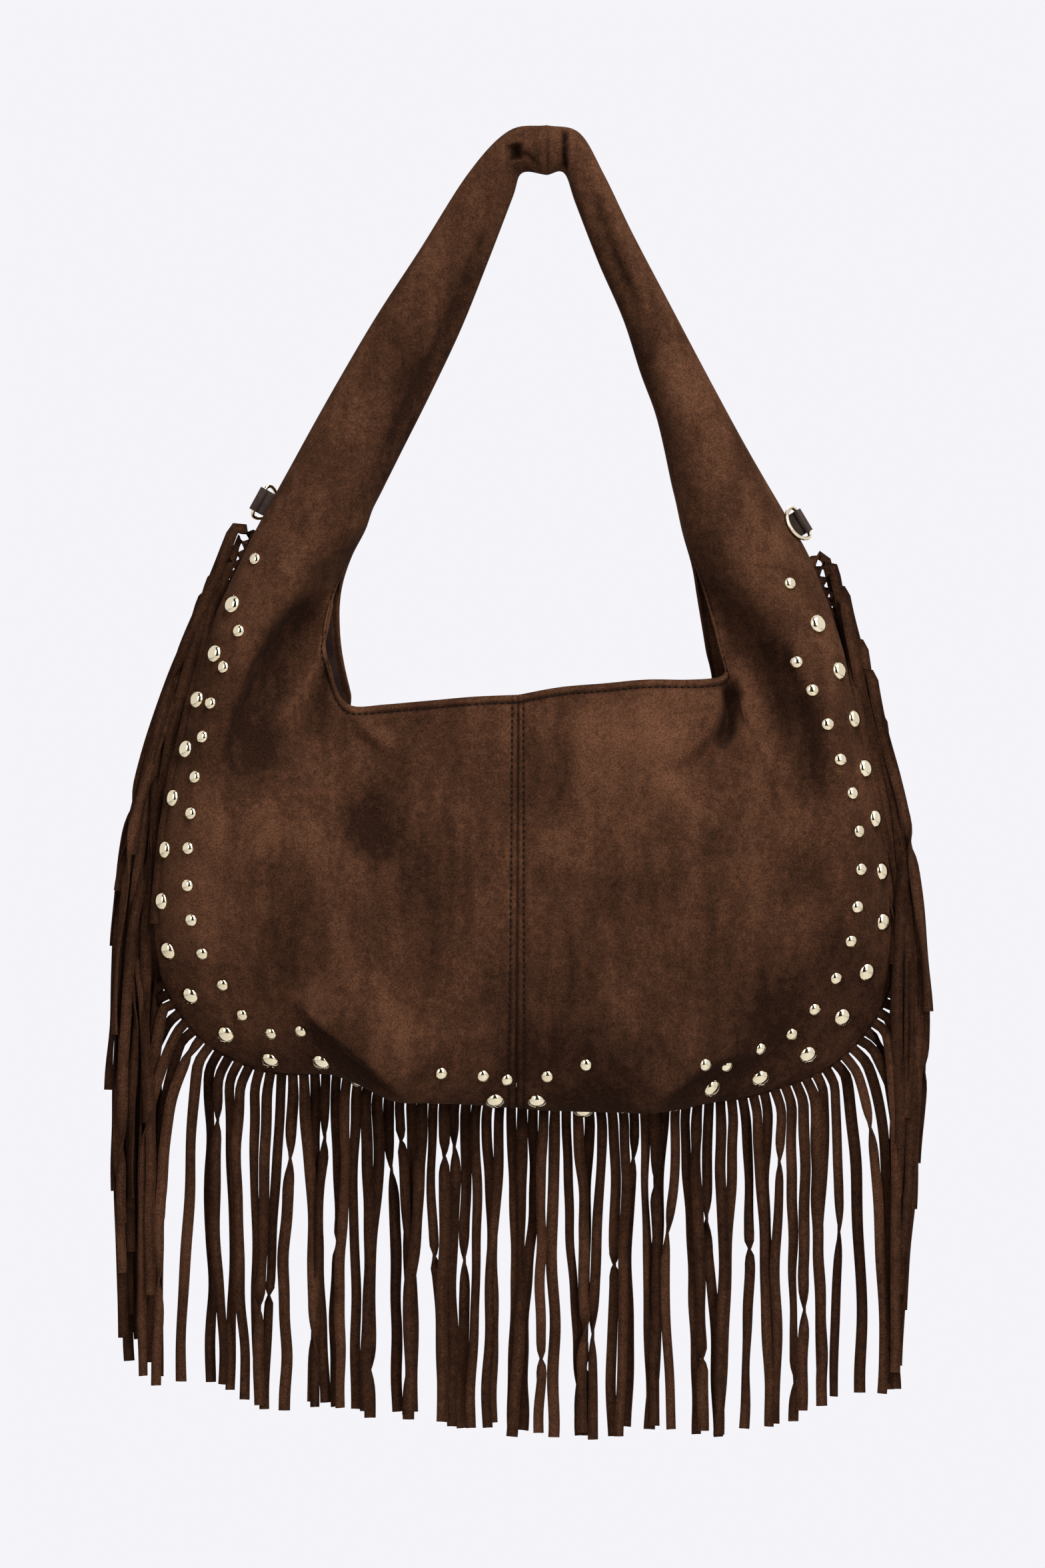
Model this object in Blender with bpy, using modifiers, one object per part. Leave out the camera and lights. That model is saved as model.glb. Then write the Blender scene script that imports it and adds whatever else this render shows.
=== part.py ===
"""Fringed suede shoulder bag, hanging by its handle.

Front and back panels of suede sweep up on both sides and close into one hollow handle. They are sewn round
the outside with a fringe strip in the seam, carry two rows of domed studs, and hold a lining. A leather tab
with a wire D-ring sits in the seam at each end of the fringe.

The origin is the underside of the handle, where the bag hangs. +X is to the right seen from the front,
-Y is the front and +Z is up. All lengths are in metres.
"""

import math
import random

import bmesh
import bpy
import numpy as np
from mathutils import Matrix, Vector
from mathutils.bvhtree import BVHTree

MM = 0.001

# Driving dimensions of the body and handle
HANDLE_DROP = 0.274
BODY_HEIGHT = 0.212
BODY_WIDTH = 0.387
BODY_DEPTH = 0.092
MOUTH_WIDTH = 0.044
HANDLE_TOP = 0.026

# Suede, lining and seams
SUEDE = 0.0014
LINING = 0.0006
LINING_SLACK = 0.0006
LINING_FOLD_GAP = 0.0022
LINING_STARTS_AT = 0.005
EDGE_TURN = 0.0010
SEAT_GAP = 0.0003
SEAM_GAP = 0.0005
BACK_RIM_DROP = 0.003

# Fringe strip
STRAND_WIDTH = 0.0051
STRAND_CUT = 0.0007
STRAND_THICKNESS = 0.0010
STRAND_LENGTH = 0.174
HEADER_INSIDE = 0.007
HEADER_OUTSIDE = 0.0015
ARCH_REACH = 0.012
ARCH_LENGTH = 0.030
FAN_OUT = 0.0060
STRAND_SWAY = 0.0035
STRAND_TRIM = 0.0050
SWAY_SEED = 11
SIDE_PILE = 0.0096
BOTTOM_PILE = 0.0026
PILE_LEVELS = 16
PILE_STEP = 7
PATH_STEPS = 60
SIDE_FROM = 0.78
SIDE_STOPS = (0.0, 0.075, 0.16, 1.0)
BOTTOM_STOPS = (0.0, 0.08, 1.0)

# Studs
LARGE_STUD = 0.0103
LARGE_RISE = 0.0036
LARGE_STUDS = 16
SMALL_STUD = 0.0070
SMALL_RISE = 0.0026
LEFT_SMALL_STUDS = 17
RIGHT_SMALL_STUDS = 17
OUTER_ROW_INSET = 0.0155
ROW_SPACING = 0.0190
LARGE_ROW_START = 0.0380
LARGE_ROW_END = 0.0108
SMALL_ROW_START = 0.0526
RIGHT_ROWS_LOWER = 0.0056
LEFT_SMALL_ROW_END = 0.0046
RIGHT_SMALL_ROW_END = 0.0169
STUD_ROOT = 0.0007

# Ring hardware
RING_WIRE = 0.0021
RING_WIDTH = 0.0205
RING_REACH = 0.0170
RING_CORNER = 0.0034
TAB_WIDTH = 0.0130
TAB_LEATHER = 0.0011
TAB_STAND = 0.0060
TAB_TAIL = 0.0055
TAB_BORE_GAP = 0.0004
NECK_OPEN = 1.6
TAB_TO_FRINGE = 0.0150
RIGHT_TAB_LEVEL = -0.1850
LEFT_TAB_LEVEL = -0.1735
RING_REST_DEG = 122.0

# Each row is a station, in millimetres, from the bottom of the centre seam out and up to the seam on top of
# the handle: the outer edge (x, z), the inner edge (x, z), half the depth there, half the mouth there
# (0 where the panels close), how flat the belly starts (0 to 1), how far it swells past the seam, and how
# far the back panel shows inside the front one.
RIGHT_STATIONS = [
    (-13, -486, -12, -274, 46, 22, 0.1, 12, 0),
    (20, -487, 10, -270, 46, 22, 0.0, 13, 0),
    (59, -483, 33, -268, 45, 21, -0.7, 18, 0),
    (96, -485, 55, -266, 44, 19, 0.5, 6, 0),
    (127, -478, 76, -266, 42, 16, 0.8, 1, 0),
    (152, -467, 91, -265, 40, 14, 1.0, 0, 3),
    (171, -448, 96, -262, 38, 12, 1.0, 0, 6),
    (182, -427, 95, -256, 38, 11, 0.9, 0, 6),
    (185, -404, 93, -248, 38, 9.8, 0.6, 0, 6),
    (183, -367, 90, -236, 38, 8, 0.2, 0, 5),
    (175, -321, 85, -219, 36, 6, 0, 0, 3),
    (166, -279, 80, -204, 34, 4, 0, 0, 1),
    (153, -234, 74, -187, 29, 2.5, 0.1, 0, 0),
    (141, -202, 70, -169, 24, 1, 0.1, 0, 0),
    (127, -177, 66, -151, 20, 0, 0, 0, 0),
    (108, -144, 60, -126, 15, 0, 0, 0, 0),
    (89, -109, 52, -104, 12, 0, 0, 0, 0),
    (69, -71, 43, -76, 10, 0, 0, 0, 0),
    (48, -31, 30, -46, 9, 0, 0, 0, 0),
    (33, 0, 18, -15, 8, 0, 0, 0, 0),
    (20, 22, 12, 1, 8, 0, 0, 0, 0),
    (3, 26, 3, 0, 10, 0, 0, 0, 0),
]
LEFT_STATIONS = [
    (-13, -486, -12, -274, 46, 22, 0.1, 12, 0),
    (-43, -480, -35, -275, 46, 22, -0.3, 15, 0),
    (-76, -476, -58, -277, 45, 21, -0.7, 18, 0),
    (-108, -471, -81, -279, 44, 19, 0.2, 8, 0),
    (-139, -471, -97, -280, 42, 16, 0.8, 2, 0),
    (-161, -464, -104, -276, 40, 14, 1.0, 0, 3),
    (-179, -452, -108, -268, 38, 12, 1.0, 0, 7),
    (-192, -435, -111, -258, 38, 11, 0.8, 1, 8),
    (-201, -412, -113, -247, 38, 10, 0.5, 3, 8),
    (-201, -380, -112, -236, 38, 8.5, 0.2, 5, 6),
    (-195, -339, -109, -223, 36, 7, 0, 6, 3),
    (-188, -305, -105, -212, 35, 5, 0, 6, 1),
    (-180, -272, -99, -199, 33, 3, 0, 5, 0),
    (-172, -237, -92, -186, 30, 1.5, 0, 3, 0),
    (-160, -209, -88, -175, 25, 0, 0, 1, 0),
    (-148, -184, -81, -161, 21, 0, 0, 0, 0),
    (-135, -160, -73, -145, 17, 0, 0, 0, 0),
    (-113, -120, -58, -115, 13, 0, 0, 0, 0),
    (-88, -77, -42, -81, 11, 0, 0, 0, 0),
    (-64, -40, -28, -46, 9, 0, 0, 0, 0),
    (-38, 1, -15, -12, 8, 0, 0, 0, 0),
    (-17, 23, -10, 1, 8, 0, 0, 0, 0),
    (3, 26, 3, 0, 10, 0, 0, 0, 0),
]
# Where each stud of a row sits: how far down the row (0 to 1), and how far in from the even line (mm)
LEFT_OUTER_ROW = [
    (0.0, 6.4), (0.068, 9.4), (0.13, 8.3), (0.184, 4.3), (0.245, 6.4), (0.302, 4.2),
    (0.366, 3.1), (0.432, 3.5), (0.498, 2.0), (0.567, -1.4), (0.642, -4.2), (0.711, -6.6),
    (0.778, 4.7), (0.828, -9.0), (0.885, -9.0), (0.942, -9.0), (1.0, 11.3),
]
LEFT_INNER_ROW = [
    (0.0, 6.4), (0.043, 2.4), (0.087, 0.3), (0.134, 1.5), (0.182, 1.9), (0.233, 4.0),
    (0.285, 5.4), (0.343, 6.4), (0.402, 6.8), (0.468, 4.1), (0.529, 1.1), (0.587, -5.9),
    (0.647, -6.7), (0.701, 3.0), (0.899, 16.9), (0.952, 11.3), (1.0, 7.1),
]
RIGHT_OUTER_ROW = [
    (0.0, 19.8), (0.046, 10.5), (0.101, 5.3), (0.159, 2.5), (0.22, 2.5), (0.282, 1.6),
    (0.349, 0.6), (0.415, -1.1), (0.494, 4.0), (0.57, 3.1), (0.643, -0.5), (0.713, -1.6),
    (0.78, 9.9), (0.83, -9.0), (0.887, -9.0), (0.942, -9.0), (1.0, 12.5),
]
RIGHT_INNER_ROW = [
    (0.0, 24.8), (0.032, 17.5), (0.065, 10.0), (0.107, 5.1), (0.149, 0.8), (0.203, 0.2),
    (0.264, 1.2), (0.329, 3.2), (0.4, 4.6), (0.479, 3.7), (0.547, 1.9), (0.614, -2.2),
    (0.67, -1.7), (0.726, -2.2), (0.78, 15.5), (0.938, 20.6), (1.0, 10.6),
]
STATION_SCALES = (MM, MM, MM, MM, MM, MM, 1.0, MM, MM)
SMOOTH_STEPS = 8

# Shares along a section, from the outer edge to the inner one, for an open body and for the closed handle
BODY_SHARES = (0.0, 0.055, 0.17, 0.38, 0.70, 1.0)
HANDLE_SHARES = (0.0, 0.08, 0.30, 0.70, 0.92, 1.0)
LINING_LOW_ROW = 4
LINING_RIM_ROW = 6
SECTION_BOW = 0.20
SECTION_ARRIVAL = 0.40
MOUTH_OPENS_AT = 0.008

# Where along a section the panel stands out most, and how square its shoulder is: in the closed handle, in a
# slack belly and in a belly that starts flat
CLOSED_PEAK = 0.50
SLACK_PEAK = 0.35
FLAT_PEAK = 0.58
CLOSED_POWER = 0.50
SLACK_POWER = 0.58
FLAT_POWER = 1.10
SWELL_REACH = 0.10
TANGENT_STEP = 0.002
LEVEL_REACH = 0.020
SHARE_STEP = 0.004
SHARE_LIMIT = 0.9

DOME_SHOULDER = (0.66, 0.74)
MERGE = 0.00002
LARGE_STUD_SIDES = 8
SMALL_STUD_SIDES = 6
SEAT_PROBES = 16
SEAT_PROBE_SHARES = (0.5, 1.0)
RING_SIDES = 6
RING_CORNER_STEPS = 3
RING_ARC_STEPS = 5
LOOP_STEPS = 10
FRONT = -1
BACK = 1


def clear_scene():
    """Removes every object of the startup scene."""
    for obj in list(bpy.data.objects):
        bpy.data.objects.remove(obj, do_unlink=True)


def make_collection(name):
    """Makes a collection under the scene's own."""
    collection = bpy.data.collections.new(name)
    bpy.context.scene.collection.children.link(collection)
    return collection


def make_material(name, colour, roughness, metallic=0.0):
    """Makes a Principled material of one colour."""
    material = bpy.data.materials.new(name)
    material.use_nodes = True
    shader = material.node_tree.nodes["Principled BSDF"]
    shader.inputs["Base Color"].default_value = (*colour, 1.0)
    shader.inputs["Roughness"].default_value = roughness
    shader.inputs["Metallic"].default_value = metallic
    return material


def add_object(name, data, material, collection):
    """Links a new object that holds the given mesh or curve."""
    obj = bpy.data.objects.new(name, data)
    data.materials.append(material)
    collection.objects.link(obj)
    return obj


def mesh_from(bm, name):
    """Turns a bmesh into a mesh and frees it."""
    mesh = bpy.data.meshes.new(name)
    bm.to_mesh(mesh)
    bm.free()
    return mesh


def smoothstep(value):
    """Eases 0 to 1."""
    value = min(max(value, 0.0), 1.0)
    return value * value * (3.0 - 2.0 * value)


def mix(low, high, share):
    """Blends two values."""
    return low + (high - low) * share


def catmull_rows(rows, steps):
    """Reads a smooth curve through rows of numbers, with so many steps between two of them."""
    ends = np.vstack([2 * rows[0] - rows[1], rows, 2 * rows[-1] - rows[-2]])
    out = []
    for first in range(len(rows) - 1):
        p0, p1, p2, p3 = ends[first : first + 4]
        for step in range(steps):
            t = step / steps
            out.append(
                0.5
                * (
                    2 * p1
                    + (p2 - p0) * t
                    + (2 * p0 - 5 * p1 + 4 * p2 - p3) * t**2
                    + (3 * p1 - p0 - 3 * p2 + p3) * t**3
                )
            )
    out.append(rows[-1])
    return np.array(out)


def sized(stations):
    """Sets the drawn stations to the driving dimensions."""
    rows = np.array(stations) * np.array(STATION_SCALES)
    drawn_drop = -rows[0, 3]
    drawn_body = rows[0, 3] - rows[0, 1]
    drawn_top = rows[-1, 1]
    for column in (1, 3):
        z = rows[:, column].copy()
        handle = np.where(z > 0, z * HANDLE_TOP / drawn_top, z * HANDLE_DROP / drawn_drop)
        body = -HANDLE_DROP + (z + drawn_drop) * BODY_HEIGHT / drawn_body
        rows[:, column] = np.where(z < -drawn_drop, body, handle)
    everything = np.array(LEFT_STATIONS + RIGHT_STATIONS)[:, 0] * MM
    width = everything.max() - everything.min()
    rows[:, (0, 2)] *= BODY_WIDTH / width
    rows[:, 4] *= BODY_DEPTH / (2 * rows[0, 4])
    rows[:, 5] *= MOUTH_WIDTH / (2 * rows[0, 5])
    return rows


class Half:
    """The left or right half of the bag, as sections that run from its outer edge to its inner one."""

    def __init__(self, stations, side, tab_level):
        self.side = side
        self.outer_row = LEFT_OUTER_ROW if side < 0 else RIGHT_OUTER_ROW
        self.inner_row = LEFT_INNER_ROW if side < 0 else RIGHT_INNER_ROW
        self.rows_lower = 0.0 if side < 0 else RIGHT_ROWS_LOWER
        self.small_row_end = LEFT_SMALL_ROW_END if side < 0 else RIGHT_SMALL_ROW_END
        self.small_studs = LEFT_SMALL_STUDS if side < 0 else RIGHT_SMALL_STUDS
        self.stations = sized(stations)
        self.rows = catmull_rows(self.stations, SMOOTH_STEPS)
        steps = np.linalg.norm(np.diff(self.rows[:, :2], axis=0), axis=1)
        self.lengths = np.concatenate([[0.0], np.cumsum(steps)])
        self.station_lengths = self.lengths[::SMOOTH_STEPS]
        self.tab_at = self.length_at_level(tab_level * HANDLE_DROP / -(stations[0][3] * MM))
        self.fringe_end = self.tab_at - TAB_TO_FRINGE

    def at(self, length):
        """Reads all columns at a length along the outer edge."""
        return np.array([np.interp(length, self.lengths, column) for column in self.rows.T])

    def length_at_level(self, level):
        """Finds the length where the outer edge passes a height."""
        rising = self.rows[:, 1]
        start = int(np.argmin(rising))
        return float(np.interp(level, rising[start:], self.lengths[start:]))

    def tangent(self, length):
        """Gives the outer edge's direction, going up, level where the halves meet at the bottom."""
        ahead = self.at(min(length + TANGENT_STEP, self.lengths[-1]))
        behind = self.at(max(length - TANGENT_STEP, 0.0))
        delta = ahead - behind
        return Vector((delta[0], 0.0, delta[1] * smoothstep(length / LEVEL_REACH))).normalized()

    def outward(self, length):
        """Gives the direction that points out of the bag at the outer edge, in the seam's plane."""
        along = self.tangent(length)
        return Vector((along.z, 0.0, -along.x)) * self.side

    def seam_half(self, length):
        """Half the gap between front and back at the seam: wide where the strip or a tab is sewn in."""
        sewn = STRAND_THICKNESS / 2 + SEAT_GAP
        plain = SEAT_GAP / 2
        past = (length - self.tab_at - TAB_WIDTH) / TAB_WIDTH
        return mix(sewn, plain, smoothstep(past))

    def section(self, length, face):
        """Gathers what one section of a panel is drawn from."""
        row = self.at(length)
        openness = smoothstep(row[5] / MOUTH_OPENS_AT)
        outer = Vector((row[0], 0.0, row[1]))
        inner = Vector((row[2], 0.0, row[3]))
        if face == BACK:
            inner += Vector((-self.side * row[8], 0.0, -BACK_RIM_DROP * openness))
        start = self.seam_half(length) + EDGE_TURN
        rim = mix(SEAT_GAP / 2 + EDGE_TURN, max(row[5], start), openness)
        return outer, inner, row[4], rim, row[6], row[7], openness, start

    def point(self, length, share, face):
        """Places a point of a panel's outer surface, share 0 at the outer edge and 1 at the inner one."""
        outer, inner, depth, rim, flat, swell, openness, start = self.section(length, face)
        span = (inner - outer).length
        bow = outer - self.outward(length) * (span * SECTION_BOW)
        arrival = inner.lerp(outer, SECTION_ARRIVAL)
        rest = 1 - share
        bowed = outer * rest**3 + bow * 3 * share * rest**2 + arrival * 3 * share**2 * rest + inner * share**3
        along = outer.lerp(inner, share).lerp(bowed, openness)
        peak = mix(CLOSED_PEAK, mix(SLACK_PEAK, FLAT_PEAK, flat), openness)
        power = mix(CLOSED_POWER, mix(SLACK_POWER, FLAT_POWER, flat), openness)
        if share < peak:
            rise = (1 - (1 - share / peak) ** 2) ** power
            y = start + (depth - start) * rise
        else:
            left = (1 - share) / (1 - peak)
            round_edge = math.sqrt(max(0.0, 1 - (1 - left) ** 2))
            soft_edge = math.sin(left * math.pi / 2) ** 2
            y = rim + (depth - rim) * mix(round_edge, soft_edge, openness)
        near = min(share / SWELL_REACH, 1.0)
        swelling = swell * math.sqrt(1 - (1 - near) ** 2) * (1 - share) ** 2
        along = along + self.outward(length) * swelling
        return Vector((along.x, face * y, along.z))

    def column(self, length, face):
        """Places the points of one grid column: a turned edge, the section and a turned edge."""
        outer, inner, _, _, _, _, openness, _ = self.section(length, face)
        shares = [mix(h, b, openness) for h, b in zip(HANDLE_SHARES, BODY_SHARES)]
        points = [self.point(length, share, face) for share in shares]
        first = Vector((points[0].x, face * self.seam_half(length), points[0].z))
        closed_end = Vector((points[-1].x, face * SEAT_GAP / 2, points[-1].z))
        open_end = points[-1] + (inner - outer).normalized() * EDGE_TURN
        last = closed_end.lerp(open_end, openness)
        return [first, *points, last]

    def surface_share(self, length, distance, face):
        """Finds the share at a distance along the surface from the seam."""
        share = 0.0
        travelled = 0.0
        here = self.point(length, share, face)
        while travelled < distance and share < SHARE_LIMIT:
            share += SHARE_STEP
            there = self.point(length, share, face)
            travelled += (there - here).length
            here = there
        return share


def grid_from_columns(columns, outward_y):
    """Lays a grid over columns of points, facing the given way along Y."""
    bm = bmesh.new()
    across = len(columns[0]) - 1
    along = len(columns) - 1
    bmesh.ops.create_grid(bm, x_segments=along, y_segments=across, size=1.0)
    for vert in bm.verts:
        column = round((vert.co.x + 1) / 2 * along)
        row = round((vert.co.y + 1) / 2 * across)
        vert.co = columns[column][row]
    bmesh.ops.triangulate(bm, faces=bm.faces, quad_method="FIXED")
    bm.normal_update()
    facing = sum(face.normal.y * face.calc_area() for face in bm.faces)
    if facing * outward_y < 0:
        bmesh.ops.reverse_faces(bm, faces=bm.faces)
    bm.normal_update()
    return bm


def panel_columns(half, face):
    """Gives a panel's grid columns, with straight turned ends set back from the seams to the other half."""
    columns = [half.column(length, face) for length in half.station_lengths]
    back_off = Vector((half.side * SEAM_GAP / 2, 0.0, 0.0))
    turned = Vector((half.side * (SEAM_GAP / 2 + EDGE_TURN), 0.0, 0.0))
    bottom = [[point + shift for point in columns[0]] for shift in (back_off, turned)]
    top = [[point + shift for point in columns[-1]] for shift in (turned, back_off)]
    return bottom + columns[1:-1] + top


def build_panel(name, half, face, material, collection):
    """Builds one suede panel as a shell, and returns it with a search tree of its outer surface."""
    columns = panel_columns(half, face)
    bm = grid_from_columns(columns, face)
    tree = BVHTree.FromBMesh(bm)
    obj = add_object(name, mesh_from(bm, name), material, collection)
    shell = obj.modifiers.new("wall", "SOLIDIFY")
    shell.thickness = SUEDE
    shell.offset = -1.0
    return obj, tree


def lining_corner(bm, corners, half, face, spot, place):
    """Gives the lining's point for one grid point, shared by both halves on the centre seam."""
    row, column = spot
    side = 0 if column == 0 else half.side
    key = (side, face, row, column)
    if key not in corners:
        corners[key] = bm.verts.new(place)
    return corners[key]


def line_panel(bm, corners, half, face):
    """Adds the lining behind one panel, facet by facet, close at the rim and slack below it."""
    columns = panel_columns(half, face)
    panel = grid_from_columns(columns, face)
    wide = len(columns)
    open_to = sum(row[5] >= LINING_STARTS_AT for row in half.stations)
    for facet in panel.faces:
        spots = [divmod(vert.index, wide) for vert in facet.verts]
        if any(row < LINING_LOW_ROW or row > LINING_RIM_ROW or column > open_to for row, column in spots):
            continue
        shape = []
        for vert, spot in zip(facet.verts, spots):
            place = vert.co - vert.normal * (SUEDE + LINING_SLACK)
            shape.append(lining_corner(bm, corners, half, face, spot, place))
        bm.faces.new(shape)
    panel.free()
    for column in range(open_to):
        pair = []
        for here in (column, column + 1):
            length = half.station_lengths[max(here - 1, 0)]
            row = half.at(length)
            inset = half.outward(length) * (HEADER_INSIDE + LINING_FOLD_GAP)
            fold = Vector((row[0], 0.0, row[1])) - inset
            low = lining_corner(bm, corners, half, 0, (0, here), fold)
            pair.append((corners[(0 if here == 0 else half.side, face, LINING_LOW_ROW, here)], low))
        (top_a, low_a), (top_b, low_b) = pair
        bm.faces.new((top_a, top_b, low_b, low_a))


def build_lining(halves, material, collection):
    """Builds the lining as one open pouch: down the front, across above the seam and up the back."""
    bm = bmesh.new()
    corners = {}
    for half in halves:
        for face in (FRONT, BACK):
            line_panel(bm, corners, half, face)
    bmesh.ops.recalc_face_normals(bm, faces=bm.faces)
    foremost = min(bm.faces, key=lambda face: face.calc_center_median().y)
    if foremost.normal.y > 0:
        bmesh.ops.reverse_faces(bm, faces=bm.faces)
    obj = add_object("lining", mesh_from(bm, "lining"), material, collection)
    shell = obj.modifiers.new("cloth", "SOLIDIFY")
    shell.thickness = LINING
    shell.offset = -1.0
    return obj


def strand_path(half, length, number):
    """Follows one strand: out of the seam, over an arch, then down beside the bag with a sway of its own."""
    dice = random.Random(SWAY_SEED + number)
    sway = dice.uniform(-STRAND_SWAY, STRAND_SWAY)
    cut_length = STRAND_LENGTH + dice.uniform(-STRAND_TRIM, STRAND_TRIM)
    out = half.outward(length)
    sideways = abs(out.x)
    level = (number * PILE_STEP % PILE_LEVELS) / (PILE_LEVELS - 1) * 2 - 1
    depth = level * mix(BOTTOM_PILE, SIDE_PILE, sideways)
    root = half.at(length)
    here = Vector((root[0], 0.0, root[1])) + out * HEADER_OUTSIDE
    path = [here.copy()]
    travelled = 0.0
    step = cut_length / PATH_STEPS
    widest = int(np.argmax(np.abs(half.rows[:, 0])))
    heights = half.rows[widest:, 1]
    edges = half.rows[widest:, 0]
    for _ in range(PATH_STEPS):
        low = np.interp(here.z - step, heights, edges)
        high = np.interp(here.z, heights, edges)
        lean = max((low - high) / step * half.side, 0.0)
        lean += FAN_OUT / STRAND_LENGTH * sideways
        drift = sway / STRAND_LENGTH * (1 - sideways)
        down = Vector((half.side * lean + drift, 0.0, -1.0)).normalized()
        turn = smoothstep(travelled / mix(ARCH_LENGTH / 2, ARCH_LENGTH, sideways))
        heading = out.lerp(down, turn).normalized()
        here = here + heading * step
        travelled += step
        eased = depth * smoothstep(travelled / ARCH_REACH)
        path.append(Vector((here.x, eased, here.z)))
    stops = SIDE_STOPS if sideways > SIDE_FROM else BOTTOM_STOPS
    return [path[round(stop * PATH_STEPS)] for stop in stops]


def header_vert(bm, halves, place, reach):
    """Adds a point of the strip, at a signed length from the centre seam and a reach out of the seam."""
    left, right = halves
    half = left if place < 0 else right
    row = half.at(abs(place))
    seam = Vector((row[0], 0.0, row[1]))
    return bm.verts.new(seam + half.outward(abs(place)) * reach)


def build_fringe(halves, material, collection):
    """Builds the strip that is sewn into the seam, with its strands cut free below the header."""
    left, right = halves
    pitch = STRAND_WIDTH + STRAND_CUT
    count = int((left.fringe_end + right.fringe_end) // pitch)
    start = -left.fringe_end
    stations = []
    for number in range(count):
        middle = start + (number + 0.5) * pitch
        stations.append((number, middle))
    bm = bmesh.new()
    inside = [header_vert(bm, halves, start + number * pitch, -HEADER_INSIDE) for number in range(count + 1)]
    outside = []
    for number, middle in stations:
        for edge in (-STRAND_WIDTH / 2, STRAND_WIDTH / 2):
            outside.append(header_vert(bm, halves, middle + edge, HEADER_OUTSIDE))
    for number in range(count):
        a, b = outside[2 * number], outside[2 * number + 1]
        bm.faces.new((inside[number], inside[number + 1], b, a))
        if number + 1 < count:
            bm.faces.new((inside[number + 1], outside[2 * number + 2], b))
    for number, middle in stations:
        half = left if middle < 0 else right
        path = strand_path(half, abs(middle), number)
        edge = bm.edges.get((outside[2 * number], outside[2 * number + 1]))
        for index in range(1, len(path)):
            heading = path[min(index + 1, len(path) - 1)] - path[index - 1]
            wide = Vector((-heading.z, 0.0, heading.x)).normalized() * (STRAND_WIDTH / 2)
            a, b = edge.verts
            flip = 1 if (b.co - a.co).dot(wide) > 0 else -1
            pairs = ((a, path[index] - wide * flip), (b, path[index] + wide * flip))
            grown = bmesh.ops.extrude_edge_only(bm, edges=[edge])["geom"]
            new_edge = [item for item in grown if isinstance(item, bmesh.types.BMEdge)][0]
            for vert in new_edge.verts:
                target = min(pairs, key=lambda pair: (pair[0].co - vert.co).length)[1]
                vert.co = target
            edge = new_edge
    bmesh.ops.recalc_face_normals(bm, faces=bm.faces)
    obj = add_object("fringe", mesh_from(bm, "fringe"), material, collection)
    strip = obj.modifiers.new("suede", "SOLIDIFY")
    strip.thickness = STRAND_THICKNESS
    strip.offset = 0.0
    return obj


def dome_mesh(name, diameter, rise, root, sides):
    """Makes a domed stud with its flat back at minus the root."""
    bm = bmesh.new()
    radius = diameter / 2
    shoulder_at, shoulder_rise = DOME_SHOULDER
    profile = [(0.0, rise), (radius * shoulder_at, rise * shoulder_rise), (radius, -root), (0.0, -root)]
    verts = [bm.verts.new((x, 0.0, z)) for x, z in profile]
    edges = [bm.edges.new(pair) for pair in zip(verts, verts[1:])]
    bmesh.ops.spin(
        bm,
        geom=verts + edges,
        cent=(0, 0, 0),
        axis=(0, 0, 1),
        angle=2 * math.pi,
        steps=sides,
        use_merge=True,
    )
    bmesh.ops.remove_doubles(bm, verts=bm.verts, dist=MERGE)
    bmesh.ops.recalc_face_normals(bm, faces=bm.faces)
    mesh = mesh_from(bm, name)
    mesh.shade_smooth()
    return mesh


def seat_on(tree, point, radius, gap):
    """Gives the placement of a stud on the panel: its flat back clears every facet under it by the gap."""
    spot, normal, _, _ = tree.find_nearest(point)
    turn = normal.to_track_quat("Z", "Y").to_matrix().to_4x4()
    lift = 0.0
    for step in range(SEAT_PROBES):
        angle = 2 * math.pi * step / SEAT_PROBES
        for share in SEAT_PROBE_SHARES:
            arm = turn @ Vector((math.cos(angle), math.sin(angle), 0.0)) * radius * share
            above = spot + arm + normal * radius
            hit, _, _, distance = tree.ray_cast(above, -normal, 2 * radius)
            if hit:
                lift = max(lift, radius - distance)
    return Matrix.Translation(spot + normal * (lift + gap)) @ turn


def row_places(half, inset, row, start, finish, count):
    """Spaces so many studs along a row beside the seam, from the row's upper end to its lower one."""
    paces, strays = zip(*row)
    spots = []
    for number in range(count):
        index = number * (len(row) - 1) / (count - 1)
        length = mix(start, finish, np.interp(index, range(len(row)), paces))
        strayed = np.interp(index, range(len(row)), strays) * MM
        share = half.surface_share(length, inset + strayed, FRONT)
        spots.append(half.point(length, share, FRONT))
    return spots


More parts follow.
